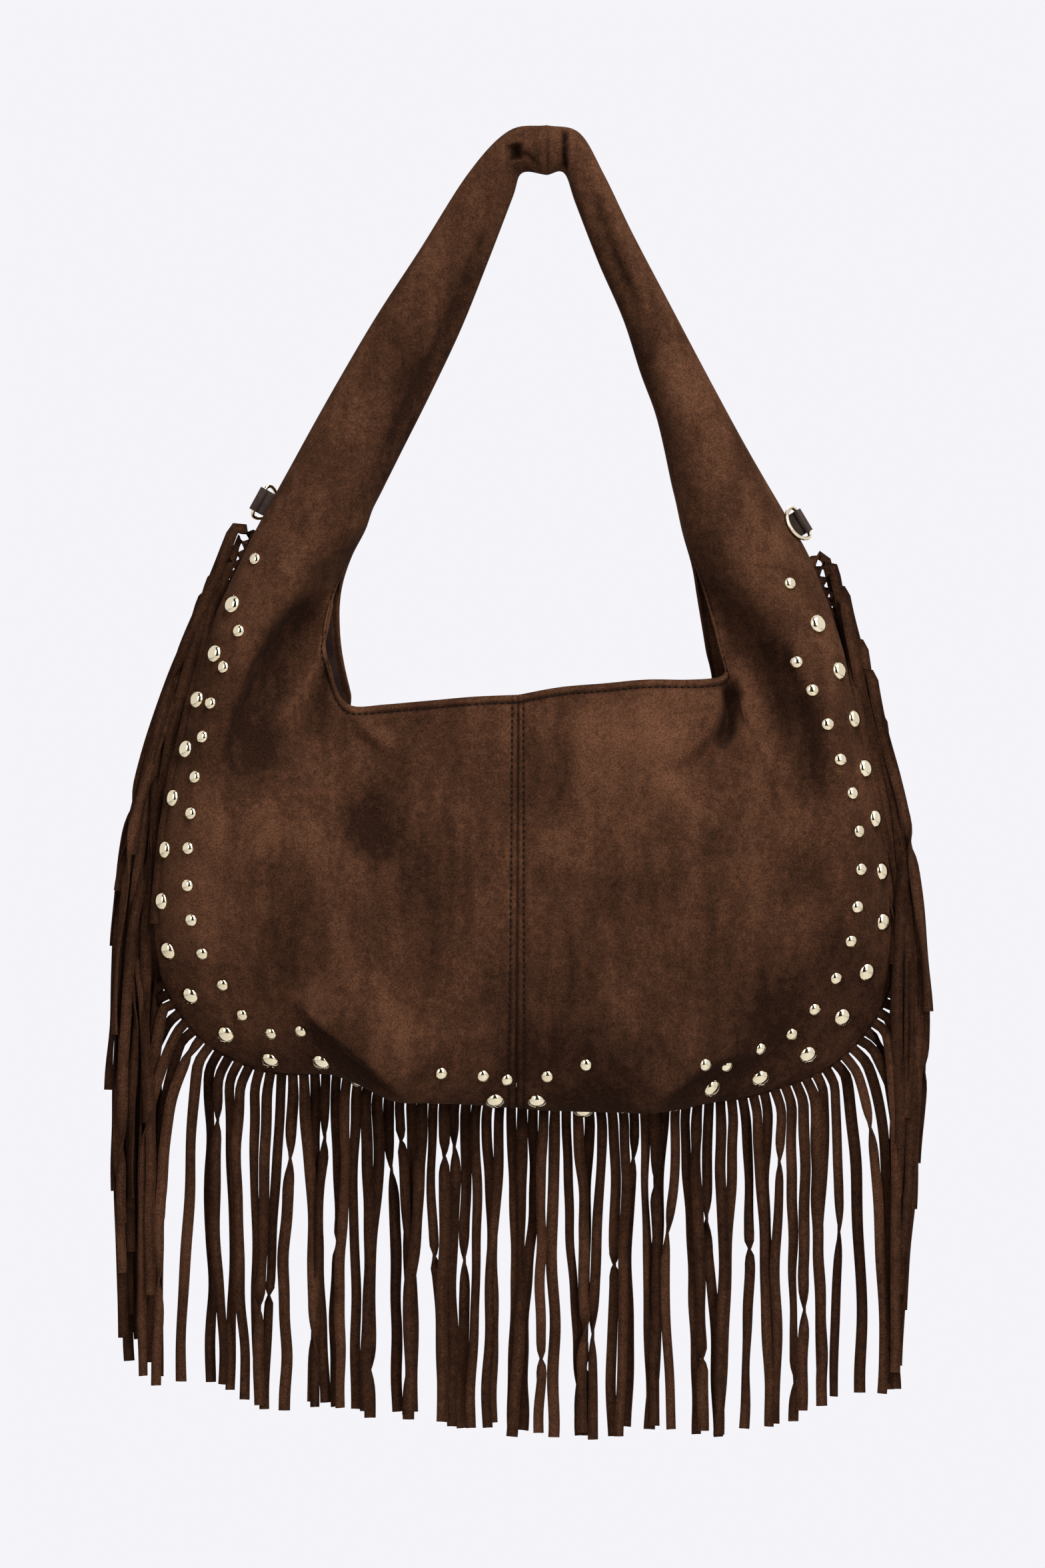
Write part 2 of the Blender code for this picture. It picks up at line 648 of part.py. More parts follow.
def build_studs(half, panel, tree, large_mesh, material, collection, cutters):
    """Sets the outer row of large studs as pieces, and fuses the small ones to the panel."""
    side_name = "left" if half.side < 0 else "right"
    top = half.tab_at - LARGE_ROW_START - half.rows_lower
    inner_top = top - SMALL_ROW_START - half.rows_lower
    inner_inset = OUTER_ROW_INSET + ROW_SPACING
    outer = row_places(half, OUTER_ROW_INSET, half.outer_row, top, LARGE_ROW_END, LARGE_STUDS + 1)
    inner = row_places(half, inner_inset, half.inner_row, inner_top, half.small_row_end, half.small_studs)
    for number, point in enumerate(outer[1:], start=1):
        obj = bpy.data.objects.new(f"stud_{side_name}_{number:02d}", large_mesh)
        obj.matrix_world = seat_on(tree, point, LARGE_STUD / 2, SEAT_GAP)
        collection.objects.link(obj)
    bm = bmesh.new()
    small = dome_mesh("small_stud", SMALL_STUD, SMALL_RISE, STUD_ROOT, SMALL_STUD_SIDES)
    for point in [outer[0], *inner]:
        before = set(bm.verts)
        bm.from_mesh(small)
        fresh = [vert for vert in bm.verts if vert not in before]
        place = seat_on(tree, point, 0.0, 0.0)
        bmesh.ops.transform(bm, matrix=place, verts=fresh)
    bpy.data.meshes.remove(small)
    name = f"small_studs_{side_name}"
    group = add_object(name, mesh_from(bm, name), material, cutters)
    group.hide_render = True
    group.display_type = "WIRE"
    fuse = panel.modifiers.new("small studs", "BOOLEAN")
    fuse.operation = "UNION"
    fuse.object = group


def tab_frame(half):
    """Gives the tab's frame: X out of the seam, Z up along the edge, origin on the seam."""
    row = half.at(half.tab_at)
    out = half.outward(half.tab_at)
    up = half.tangent(half.tab_at)
    across = up.cross(out)
    turn = Matrix((out, across, up)).transposed().to_4x4()
    return Matrix.Translation((row[0], 0.0, row[1])) @ turn


def flat_spline(curve, points):
    """Adds a closed outline to a flat curve."""
    spline = curve.splines.new("POLY")
    spline.points.add(len(points) - 1)
    for slot, (x, y) in zip(spline.points, points):
        slot.co = (x, y, 0.0, 1.0)
    spline.use_cyclic_u = True


def build_tab(half, material, collection):
    """Builds the leather loop: a strip folded round the ring's bar, with its ends in the seam."""
    side_name = "left" if half.side < 0 else "right"
    bore = RING_WIRE / 2 + TAB_BORE_GAP
    outside = bore + TAB_LEATHER
    tail = STRAND_THICKNESS / 2
    neck = math.asin(tail / outside)
    loop = []
    for step in range(LOOP_STEPS + 1):
        angle = mix(math.pi - neck * NECK_OPEN, -math.pi + neck * NECK_OPEN, step / LOOP_STEPS)
        loop.append((TAB_STAND + outside * math.cos(angle), outside * math.sin(angle)))
    outline = [(-TAB_TAIL, -tail), (-TAB_TAIL, tail), (HEADER_OUTSIDE / 2, tail)]
    outline += loop + [(HEADER_OUTSIDE / 2, -tail)]
    hole = []
    for step in range(LOOP_STEPS):
        angle = 2 * math.pi * step / LOOP_STEPS
        radius = bore / math.cos(math.pi / LOOP_STEPS)
        hole.append((TAB_STAND + radius * math.cos(angle), radius * math.sin(angle)))
    curve = bpy.data.curves.new(f"ring_tab_{side_name}", "CURVE")
    curve.dimensions = "2D"
    curve.fill_mode = "BOTH"
    curve.extrude = TAB_WIDTH / 2
    flat_spline(curve, outline)
    flat_spline(curve, hole)
    obj = add_object(curve.name, curve, material, collection)
    obj.matrix_world = tab_frame(half)
    return obj


def ring_points():
    """Draws the D: a straight bar on Z at the origin, round corners and a wide arc towards +X."""
    bar = RING_WIDTH / 2 - RING_WIRE / 2
    reach = RING_REACH - RING_WIRE
    points = []
    for step in range(RING_CORNER_STEPS + 1):
        angle = math.pi / 2 * step / RING_CORNER_STEPS
        x = RING_CORNER - RING_CORNER * math.cos(angle)
        z = bar - RING_CORNER + RING_CORNER * math.sin(angle)
        points.append((x, z))
    for step in range(1, RING_ARC_STEPS):
        angle = math.pi / 2 * step / RING_ARC_STEPS
        x = RING_CORNER + (reach - RING_CORNER) * math.sin(angle)
        z = bar * math.cos(angle)
        points.append((x, z))
    points.append((reach, 0.0))
    return points + [(x, -z) for x, z in points[-2::-1]]


def build_ring(half, face, material, collection):
    """Builds the wire D-ring, folded in against the given face of the bag."""
    side_name = "left" if half.side < 0 else "right"
    curve = bpy.data.curves.new(f"ring_{side_name}", "CURVE")
    curve.dimensions = "3D"
    curve.bevel_depth = RING_WIRE / 2
    curve.bevel_resolution = (RING_SIDES - 4) // 2
    curve.resolution_u = 1
    spline = curve.splines.new("POLY")
    points = ring_points()
    spline.points.add(len(points) - 1)
    for slot, (x, z) in zip(spline.points, points):
        slot.co = (x, 0.0, z, 1.0)
    spline.use_cyclic_u = True
    obj = add_object(curve.name, curve, material, collection)
    frame = tab_frame(half)
    towards = face * frame.col[1].y
    turn = Matrix.Rotation(math.radians(RING_REST_DEG) * (1 if towards > 0 else -1), 4, "Z")
    obj.matrix_world = frame @ Matrix.Translation((TAB_STAND, 0.0, 0.0)) @ turn
    return obj


def build_bag():
    """Builds every piece of the bag."""
    clear_scene()
    pieces = make_collection("fringed_suede_bag")
    cutters = make_collection("cutters")
    suede = make_material("brown_suede", (0.075, 0.034, 0.019), 0.95)
    fringe_suede = make_material("fringe_suede", (0.062, 0.028, 0.016), 0.95)
    cloth = make_material("dark_lining", (0.030, 0.018, 0.018), 0.8)
    leather = make_material("smooth_leather", (0.047, 0.029, 0.025), 0.5)
    gold = make_material("pale_gold", (0.83, 0.72, 0.48), 0.15, 1.0)

    left = Half(LEFT_STATIONS, -1, LEFT_TAB_LEVEL)
    right = Half(RIGHT_STATIONS, 1, RIGHT_TAB_LEVEL)
    large = dome_mesh("large_stud", LARGE_STUD, LARGE_RISE, 0.0, LARGE_STUD_SIDES)
    large.materials.append(gold)
    for half, ring_face in ((left, BACK), (right, FRONT)):
        side_name = "left" if half.side < 0 else "right"
        front, tree = build_panel(f"front_panel_{side_name}", half, FRONT, suede, pieces)
        build_panel(f"back_panel_{side_name}", half, BACK, suede, pieces)
        build_studs(half, front, tree, large, gold, pieces, cutters)
        build_tab(half, leather, pieces)
        build_ring(half, ring_face, gold, pieces)
    build_lining((left, right), cloth, pieces)
    build_fringe((left, right), fringe_suede, pieces)


if __name__ == "__main__":
    build_bag()
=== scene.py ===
"""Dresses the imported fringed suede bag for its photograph.

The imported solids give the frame. The suede panels, lining, fringe, studs, tabs and rings are built again
here as finer pieces in the same places: the panels from the same stations as the solids, with the folds
that the hanging bag shows. All lengths are in metres. +X is right, -Y is the front and +Z is up.
"""

from __future__ import annotations

import logging
import math
import random
from dataclasses import dataclass, field
from enum import Enum
from typing import Any, Sequence

import bmesh
import bpy
import numpy as np
from mathutils import Matrix, Vector, noise
from mathutils.bvhtree import BVHTree


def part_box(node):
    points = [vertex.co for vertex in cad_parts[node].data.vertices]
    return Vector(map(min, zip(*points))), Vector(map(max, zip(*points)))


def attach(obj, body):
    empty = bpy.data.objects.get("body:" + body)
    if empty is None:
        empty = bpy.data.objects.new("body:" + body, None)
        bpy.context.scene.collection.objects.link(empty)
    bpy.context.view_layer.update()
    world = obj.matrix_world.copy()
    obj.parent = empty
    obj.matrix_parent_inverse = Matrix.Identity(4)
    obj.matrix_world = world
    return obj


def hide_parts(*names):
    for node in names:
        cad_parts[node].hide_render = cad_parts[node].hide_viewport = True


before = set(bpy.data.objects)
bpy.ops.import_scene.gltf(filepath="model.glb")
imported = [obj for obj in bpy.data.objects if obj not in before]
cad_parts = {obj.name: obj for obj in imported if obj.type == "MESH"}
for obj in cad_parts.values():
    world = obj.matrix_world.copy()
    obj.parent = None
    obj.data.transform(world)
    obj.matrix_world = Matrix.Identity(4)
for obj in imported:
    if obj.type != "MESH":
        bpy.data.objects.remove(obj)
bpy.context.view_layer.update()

LOG = logging.getLogger("fringed_bag")
MM = 0.001
ROOT_BODY = "bag"

# Sizes that the solids were made to, repeated here because this script can't read their source
WIDTH_FIT = 387 / 386
SUEDE = 0.0014
LINING = 0.0006
LINING_SLACK = 0.0009
EDGE_TURN = 0.0010
SEAT_GAP = 0.0003
BACK_RIM_DROP = 0.003
STRAND_WIDTH = 0.0051
STRAND_CUT = 0.0007
STRAND_THICKNESS = 0.0010
STRAND_LENGTH = 0.174
HEADER_INSIDE = 0.007
HEADER_OUTSIDE = 0.0015
TAB_WIDTH = 0.0130
TAB_STAND = 0.0060
TAB_TO_FRINGE = 0.0150
RIGHT_TAB_LEVEL = -0.1850
LEFT_TAB_LEVEL = -0.1735
SECTION_BOW = 0.20
SECTION_ARRIVAL = 0.40
MOUTH_OPENS_AT = 0.008
TUBE_SHAPE = 0.5
SECTION_PEAK = (0.35, 0.58)
SECTION_POWER = (0.58, 1.1)
SWELL_REACH = 0.10
LINING_STARTS_AT = 0.005
LINING_CENTRE = -0.0125 * WIDTH_FIT

# Each row is a station in millimetres, from the bottom of the centre seam up to the seam on top of the
# handle: outer edge (x, z), inner edge (x, z), half depth, half mouth, flatness, swell and back reveal
RIGHT_STATIONS = (
    (-13, -486, -12, -274, 46, 22, 0.1, 12, 0),
    (20, -487, 10, -270, 46, 22, 0.0, 13, 0),
    (59, -483, 33, -268, 45, 21, -0.7, 18, 0),
    (96, -485, 55, -266, 44, 19, 0.5, 6, 0),
    (127, -478, 76, -266, 42, 16, 0.8, 1, 0),
    (152, -467, 91, -265, 40, 14, 1.0, 0, 3),
    (171, -448, 96, -262, 38, 12, 1.0, 0, 6),
    (182, -427, 95, -256, 38, 11, 0.9, 0, 6),
    (185, -404, 93, -248, 38, 9.8, 0.6, 0, 6),
    (183, -367, 90, -236, 38, 8, 0.2, 0, 5),
    (175, -321, 85, -219, 36, 6, 0, 0, 3),
    (166, -279, 80, -204, 34, 4, 0, 0, 1),
    (153, -234, 74, -187, 29, 2.5, 0.1, 0, 0),
    (141, -202, 70, -169, 24, 1, 0.1, 0, 0),
    (127, -177, 66, -151, 20, 0, 0, 0, 0),
    (108, -144, 60, -126, 15, 0, 0, 0, 0),
    (89, -109, 52, -104, 12, 0, 0, 0, 0),
    (69, -71, 43, -76, 10, 0, 0, 0, 0),
    (48, -31, 30, -46, 9, 0, 0, 0, 0),
    (33, 0, 18, -15, 8, 0, 0, 0, 0),
    (20, 22, 12, 1, 8, 0, 0, 0, 0),
    (3, 26, 3, 0, 10, 0, 0, 0, 0),
)
LEFT_STATIONS = (
    (-13, -486, -12, -274, 46, 22, 0.1, 12, 0),
    (-43, -480, -35, -275, 46, 22, -0.3, 15, 0),
    (-76, -476, -58, -277, 45, 21, -0.7, 18, 0),
    (-108, -471, -81, -279, 44, 19, 0.2, 8, 0),
    (-139, -471, -97, -280, 42, 16, 0.8, 2, 0),
    (-161, -464, -104, -276, 40, 14, 1.0, 0, 3),
    (-179, -452, -108, -268, 38, 12, 1.0, 0, 7),
    (-192, -435, -111, -258, 38, 11, 0.8, 1, 8),
    (-201, -412, -113, -247, 38, 10, 0.5, 3, 8),
    (-201, -380, -112, -236, 38, 8.5, 0.2, 5, 6),
    (-195, -339, -109, -223, 36, 7, 0, 6, 3),
    (-188, -305, -105, -212, 35, 5, 0, 6, 1),
    (-180, -272, -99, -199, 33, 3, 0, 5, 0),
    (-172, -237, -92, -186, 30, 1.5, 0, 3, 0),
    (-160, -209, -88, -175, 25, 0, 0, 1, 0),
    (-148, -184, -81, -161, 21, 0, 0, 0, 0),
    (-135, -160, -73, -145, 17, 0, 0, 0, 0),
    (-113, -120, -58, -115, 13, 0, 0, 0, 0),
    (-88, -77, -42, -81, 11, 0, 0, 0, 0),
    (-64, -40, -28, -46, 9, 0, 0, 0, 0),
    (-38, 1, -15, -12, 8, 0, 0, 0, 0),
    (-17, 23, -10, 1, 8, 0, 0, 0, 0),
    (3, 26, 3, 0, 10, 0, 0, 0, 0),
)
STATION_SCALES = (MM, MM, MM, MM, MM, MM, 1.0, MM, MM)
DEPTH, MOUTH, FLATNESS, SWELL, REVEAL = range(4, 9)

# Small studs in millimetres: length along the seam from the bottom centre, and distance in from it. The first
# one of each side stands on top of the outer row, and the others are the inner row.
LEFT_SMALL_STUDS = (
    (429.5, 21.9), (376.9, 40.9), (360.6, 36.9), (344.4, 34.8), (326.5, 36.0), (308.5, 36.4), (289.6, 38.5),
    (270.0, 39.9), (248.3, 40.9), (226.1, 41.3), (201.2, 38.6), (178.4, 35.6), (156.7, 28.6), (133.9, 27.8),
    (113.9, 37.5), (39.6, 51.4), (19.5, 45.8), (4.6, 41.6),
)
RIGHT_SMALL_STUDS = (
    (426.6, 35.3), (368.7, 59.3), (357.3, 52.0), (345.8, 44.5), (331.1, 39.6), (316.4, 35.3), (297.3, 34.7),
    (276.0, 35.7), (253.1, 37.7), (228.0, 39.1), (200.2, 38.2), (176.2, 36.4), (152.7, 32.3), (133.1, 32.8),
    (113.5, 32.3), (94.4, 50.0), (38.7, 55.1), (16.9, 45.1),
)

# How far out the hanging strands reach beside the bag, and how far in: millimetres (z, x)
LEFT_CURTAIN = (
    (-170, -146), (-185, -153), (-207, -171), (-237, -186), (-276, -205), (-306, -213), (-345, -221),
    (-375, -226), (-431, -229), (-480, -227), (-520, -228), (-600, -222), (-700, -214),
)
RIGHT_CURTAIN = (
    (-180, 132), (-202, 143), (-213, 157), (-234, 163), (-248, 168), (-328, 190), (-348, 196),
    (-395, 202), (-438, 206), (-485, 203), (-560, 195), (-600, 190), (-700, 182),
)
LEFT_INNER_EDGE = ((-180, -2), (-250, -1), (-325, 1.5), (-385, 1.0), (-410, 0), (-430, 0))
RIGHT_INNER_EDGE = ((-200, -2), (-260, 0), (-320, 2.5), (-365, 2.5), (-390, 0), (-415, 0))


class Side(Enum):
    """Which half of the bag a piece belongs to, as the sign of X."""

    LEFT = -1
    RIGHT = 1

    @property
    def word(self) -> str:
        """Gives the side's name as the pieces write it."""
        return self.name.lower()


class Face(Enum):
    """Which face of the bag a panel is on, as the sign of Y."""

    FRONT = -1
    BACK = 1

    @property
    def word(self) -> str:
        """Gives the face's name as the pieces write it."""
        return self.name.lower()


def ease(value: Any) -> Any:
    """Eases a number or an array from 0 to 1."""
    value = np.clip(value, 0.0, 1.0)
    return value * value * (3.0 - 2.0 * value)


def mix(low: Any, high: Any, share: Any) -> Any:
    """Blends two numbers or arrays by a share."""
    return low + (high - low) * share


def bell(distance: Any, width: Any) -> Any:
    """Gives a bell curve: 1 at no distance, falling away over a width."""
    return np.exp(-((distance / width) ** 2))


def upright(flat: Sequence[float], y: float = 0.0) -> np.ndarray:
    """Turns an (x, z) pair into a point at a depth."""
    return np.array([flat[0], y, flat[1]])


def run_lengths(line: np.ndarray) -> np.ndarray:
    """Gives the length of a line up to each of its points."""
    steps = np.linalg.norm(np.diff(line, axis=-2), axis=-1)
    return np.concatenate([np.zeros((*steps.shape[:-1], 1)), np.cumsum(steps, axis=-1)], axis=-1)


def along_line(places: Any, run: np.ndarray, line: np.ndarray) -> np.ndarray:
    """Reads a line's columns at places along its run."""
    return np.stack([np.interp(places, run, column) for column in line.T], axis=-1)


def neighbours(values: np.ndarray, reach: int) -> np.ndarray:
    """Gives the values shifted by each step up to a reach both ways, one row a shift."""
    wide = np.pad(values, reach, mode="edge")
    return np.array([wide[shift : shift + len(values)] for shift in range(2 * reach + 1)])


def smooth_rows(rows: np.ndarray, steps: int) -> np.ndarray:
    """Draws a smooth curve through rows of numbers.

    Args:
        rows: the rows that the curve passes through.
        steps: how many steps lie between two rows.

    Returns:
        The rows of the finer curve.
    """
    ends = np.vstack([2 * rows[0] - rows[1], rows, 2 * rows[-1] - rows[-2]])
    shares = np.linspace(0.0, 1.0, steps, endpoint=False)[:, None]
    parts = []
    for first in range(len(rows) - 1):
        before, here, there, after = ends[first : first + 4]
        slope = (there - before) * shares
        bend = (2 * before - 5 * here + 4 * there - after) * shares**2
        twist = (3 * here - before - 3 * there + after) * shares**3
        parts.append(0.5 * (2 * here + slope + bend + twist))
    parts.append(rows[-1:])
    return np.vstack(parts)


def grid_normals(points: np.ndarray, sign: int) -> np.ndarray:
    """Works out a unit normal for every point of a grid.

    Args:
        points: the grid, columns by rows by 3.
        sign: the side of Y that the grid faces.

    Returns:
        The normals, in the same shape.
    """
    normals = np.cross(np.gradient(points, axis=0), np.gradient(points, axis=1))
    normals /= np.maximum(np.linalg.norm(normals, axis=2, keepdims=True), 1e-12)
    return -normals if np.sum(normals[..., 1]) * sign < 0 else normals


def grid_mesh(points: np.ndarray) -> bmesh.types.BMesh:
    """Lays a quad grid over points, columns by rows by 3. Its vertices run row by row."""
    bm = bmesh.new()
    columns, rows = points.shape[:2]
    bmesh.ops.create_grid(bm, x_segments=columns - 1, y_segments=rows - 1, size=1.0)
    for vert, point in zip(bm.verts, points.swapaxes(0, 1).reshape(-1, 3)):
        vert.co = point
    bm.normal_update()
    return bm


def face_towards(bm: bmesh.types.BMesh, sign: int) -> None:
    """Turns all faces over if most of the area looks away from the given side of Y."""
    facing = sum(face.normal.y * face.calc_area() for face in bm.faces)
    if facing * sign < 0:
        bmesh.ops.reverse_faces(bm, faces=bm.faces)
    bm.normal_update()


def link(name: str, data: Any) -> bpy.types.Object:
    """Adds an object with the given data to the scene."""
    obj = bpy.data.objects.new(name, data)
    bpy.context.scene.collection.objects.link(obj)
    return obj


def add_piece(name: str, bm: bmesh.types.BMesh, material: bpy.types.Material) -> bpy.types.Object:
    """Turns a bmesh, which is freed, into a piece of the scene with one finish."""
    mesh = bpy.data.meshes.new(name)
    bm.to_mesh(mesh)
    bm.free()
    mesh.materials.append(material)
    return link(name, mesh)


def merge(whole: bmesh.types.BMesh, part: bmesh.types.BMesh) -> None:
    """Adds a bmesh to another one and frees it."""
    mesh = bpy.data.meshes.new("part")
    part.to_mesh(mesh)
    part.free()
    whole.from_mesh(mesh)
    bpy.data.meshes.remove(mesh)


def final_mesh(obj: bpy.types.Object) -> bpy.types.Mesh:
    """Makes the mesh that an object's modifiers or bevels give."""
    graph = bpy.context.evaluated_depsgraph_get()
    return bpy.data.meshes.new_from_object(obj.evaluated_get(graph), depsgraph=graph)


def settle(obj: bpy.types.Object, sharp_degrees: float) -> None:
    """Applies a piece's modifiers and shades it smooth, but for edges that bend more than the angle."""
    mesh = final_mesh(obj)
    obj.modifiers.clear()
    old = obj.data
    obj.data = mesh
    bpy.data.meshes.remove(old)
    mesh.name = obj.name
    mesh.shade_smooth()
    mesh.set_sharp_from_angle(angle=math.radians(sharp_degrees))


def thicken(obj: bpy.types.Object, thickness: float, offset: float) -> None:
    """Gives a sheet its thickness, from its face inwards (-1) or on both sides (0)."""
    shell = obj.modifiers.new("thickness", "SOLIDIFY")
    shell.thickness = thickness
    shell.offset = offset


class Signal:
    """A shader socket, or an expression on one, that adds Math nodes when it is computed with."""

    def __init__(self, graph: "Graph", socket: bpy.types.NodeSocket) -> None:
        """Wraps one output socket of a material's graph."""
        self.graph = graph
        self.socket = socket

    def _math(self, operation: str, *values: Any) -> "Signal":
        """Adds one Math node over the given values."""
        node = self.graph.node("ShaderNodeMath", {"operation": operation}, dict(enumerate(values)))
        return Signal(self.graph, node.outputs[0])

    def __add__(self, other: Any) -> "Signal":
        """Adds a number or signal."""
        return self._math("ADD", self, other)

    __radd__ = __add__

    def __sub__(self, other: Any) -> "Signal":
        """Subtracts a number or signal."""
        return self._math("SUBTRACT", self, other)

    def __rsub__(self, other: Any) -> "Signal":
        """Subtracts this signal from a number."""
        return self._math("SUBTRACT", other, self)

    def __mul__(self, other: Any) -> "Signal":
        """Multiplies by a number or signal."""
        return self._math("MULTIPLY", self, other)

    __rmul__ = __mul__

    def clamp(self) -> "Signal":
        """Keeps the signal between 0 and 1."""
        return self._math("MINIMUM", self.at_least(0.0), 1.0)

    def at_least(self, other: Any) -> "Signal":
        """Takes the larger of the signal and another one."""
        return self._math("MAXIMUM", self, other)

    def __abs__(self) -> "Signal":
        """Drops the sign."""
        return self._math("ABSOLUTE", self)


class Graph:
    """The node tree of a material or of the world."""

    def __init__(self, owner: Any) -> None:
        """Clears the owner's tree and finds the place that patterns are read at."""
        owner.use_nodes = True
        self.owner = owner
        self.tree = owner.node_tree
        self.tree.nodes.clear()
        self.coordinates = self.node("ShaderNodeTexCoord", {}, {}).outputs
        self.place = self.coordinates["Object"]

    def node(self, kind: str, settings: dict[str, Any], inputs: dict[Any, Any]) -> bpy.types.Node:
        """Adds a node.

        Args:
            kind: the node's type.
            settings: properties of the node, set first.
            inputs: values, sockets or signals, by the input's name or number.

        Returns:
            The new node.
        """
        node = self.tree.nodes.new(kind)
        for key, value in settings.items():
            setattr(node, key, value)
        for key, value in inputs.items():
            if isinstance(value, Signal):
                value = value.socket
            if isinstance(value, bpy.types.NodeSocket):
                self.tree.links.new(value, node.inputs[key])
            else:
                node.inputs[key].default_value = value
        return node

    def stretched(self, scale: tuple[float, float, float]) -> bpy.types.NodeSocket:
        """Gives the place on the piece, scaled differently along its axes."""
        node = self.node("ShaderNodeMapping", {}, {"Vector": self.place, "Scale": scale})
        return node.outputs["Vector"]

    def noise(self, scale: float, detail: float, place: Any = None, roughness: float = 0.5) -> Signal:
        """Adds a noise pattern.

        Args:
            scale: how many lumps there are in a metre.
            detail: how many finer layers it has.
            place: where it is read, the piece's own place if not given.
            roughness: how strong the finer layers are.

        Returns:
            The pattern, about 0.5 on average.
        """
        inputs = {"Vector": place or self.place, "Scale": scale, "Detail": detail, "Roughness": roughness}
        return Signal(self, self.node("ShaderNodeTexNoise", {}, inputs).outputs[0])

    def spread(self, signal: Signal, low: float, high: float) -> Signal:
        """Stretches the part of a signal between low and high to 0 to 1."""
        return ((signal - low) * (1.0 / (high - low))).clamp()

    def attribute(self, name: str) -> Signal:
        """Reads a number that is stored on the piece's points."""
        node = self.node("ShaderNodeAttribute", {"attribute_name": name}, {})
        return Signal(self, node.outputs["Fac"])

    def blend(self, low: Any, high: Any, share: Any, kind: str = "MIX") -> bpy.types.NodeSocket:
        """Mixes two colours by a share."""
        settings = {"data_type": "RGBA", "blend_type": kind}
        return self.node("ShaderNodeMix", settings, {0: share, 6: low, 7: high}).outputs[2]

    def bump(self, height: Signal, distance: float, strength: float) -> bpy.types.NodeSocket:
        """Turns a height into a bumped normal."""
        inputs = {"Height": height, "Distance": distance, "Strength": strength}
        return self.node("ShaderNodeBump", {}, inputs).outputs["Normal"]

    def finish(self, values: dict[str, Any]) -> bpy.types.Material:
        """Ends a material in a Principled shader with these inputs, and returns the material."""
        shader = self.node("ShaderNodeBsdfPrincipled", {}, values)
        self.node("ShaderNodeOutputMaterial", {}, {"Surface": shader.outputs["BSDF"]})
        return self.owner


Colour = tuple[float, float, float, float]


@dataclass(frozen=True)
class Suede:
    """Brushed suede: a mottled nap in two shades, with a fine grain."""

    name: str
    dark: Colour
    middle: Colour
    light: Colour
    patch_scale: float = 15.0
    stroke_scale: tuple[float, float, float] = (95.0, 95.0, 24.0)
    blot_scale: float = 230.0
    pile_scale: float = 420.0
    grain_scale: float = 1100.0
    speck_dark: Colour = (0.58, 0.56, 0.55, 1.0)
    speck_light: Colour = (1.38, 1.38, 1.38, 1.0)
    sheen: float = 0.03
    painted_light_and_nap: float = 0.42

    def material(self) -> bpy.types.Material:
        """Builds the suede's nodes."""
        graph = Graph(bpy.data.materials.new(self.name))
        patches = graph.spread(graph.noise(self.patch_scale, 3.0, roughness=0.6), 0.34, 0.66)
        strokes = graph.noise(1.0, 4.0, graph.stretched(self.stroke_scale), 0.6)
        strokes = graph.spread(strokes, 0.32, 0.68)
        blots = graph.spread(graph.noise(self.blot_scale, 3.0, roughness=0.7), 0.32, 0.68)
        grain = graph.noise(self.grain_scale, 2.0, roughness=0.8)
        tone = 0.10 + 0.22 * patches + 0.30 * strokes + 0.28 * blots
        # lit adds painted light and shade: lighter ridges and rim, darker valleys, undersides, bottom,
        # grooves, strand edges and roots, plus nap tone
        tone = (tone + graph.attribute("lit") * self.painted_light_and_nap).clamp()
        shade = graph.blend(self.dark, self.middle, graph.spread(tone, 0.05, 0.55))
        shade = graph.blend(shade, self.light, graph.spread(tone, 0.5, 1.05))
        finer = graph.blend(self.speck_dark, self.speck_light, graph.spread(grain, 0.35, 0.65))
        height = 0.6 * grain + 0.4 * graph.noise(self.pile_scale, 3.0, roughness=0.6)
        return graph.finish(
            {
                "Base Color": graph.blend(shade, finer, 1.0, "MULTIPLY"),
                "Roughness": 0.95,
                "Specular IOR Level": 0.03,
                "Sheen Weight": self.sheen,
                "Sheen Roughness": 0.45,
                "Sheen Tint": (0.55, 0.36, 0.26, 1.0),
                "Normal": graph.bump(height, 0.0004, 0.55),
            }
        )


@dataclass(frozen=True)
class TwoTone:
    """A finish that wanders between two close shades, in lumps of a scale and detail."""

    name: str
    dark: Colour
    light: Colour
    scale: float
    detail: float

    def material(self) -> bpy.types.Material:
        """Builds the finish's nodes."""
        graph = Graph(bpy.data.materials.new(self.name))
        tone = graph.spread(graph.noise(self.scale, self.detail), 0.3, 0.7)
        colour = graph.blend(self.dark, self.light, tone)
        return graph.finish({"Base Color": colour, **self._surface(graph, tone)})

    def _surface(self, graph: Graph, tone: Signal) -> dict[str, Any]:
        """Gives the shader's other inputs."""
        raise NotImplementedError


@dataclass(frozen=True)
class LiningCloth(TwoTone):
    """Smooth dark lining cloth with a fine plain weave."""

    name: str = "plum_lining"
    dark: Colour = (0.015, 0.0078, 0.0070, 1.0)
    light: Colour = (0.036, 0.0200, 0.0180, 1.0)
    scale: float = 60.0
    detail: float = 3.0
    thread_scale: float = 620.0

    def _surface(self, graph: Graph, tone: Signal) -> dict[str, Any]:
        """Weaves the threads."""
        inputs = {"Vector": graph.place, "Scale": self.thread_scale}
        threads = []
        for axis in "XZ":
            waves = {"wave_type": "BANDS", "bands_direction": axis, "wave_profile": "SIN"}
            threads.append(Signal(graph, graph.node("ShaderNodeTexWave", waves, inputs).outputs[1]))
        normal = graph.bump(threads[0] + threads[1], 0.00012, 0.3)
        return {"Roughness": 0.8, "Specular IOR Level": 0.06, "Normal": normal}


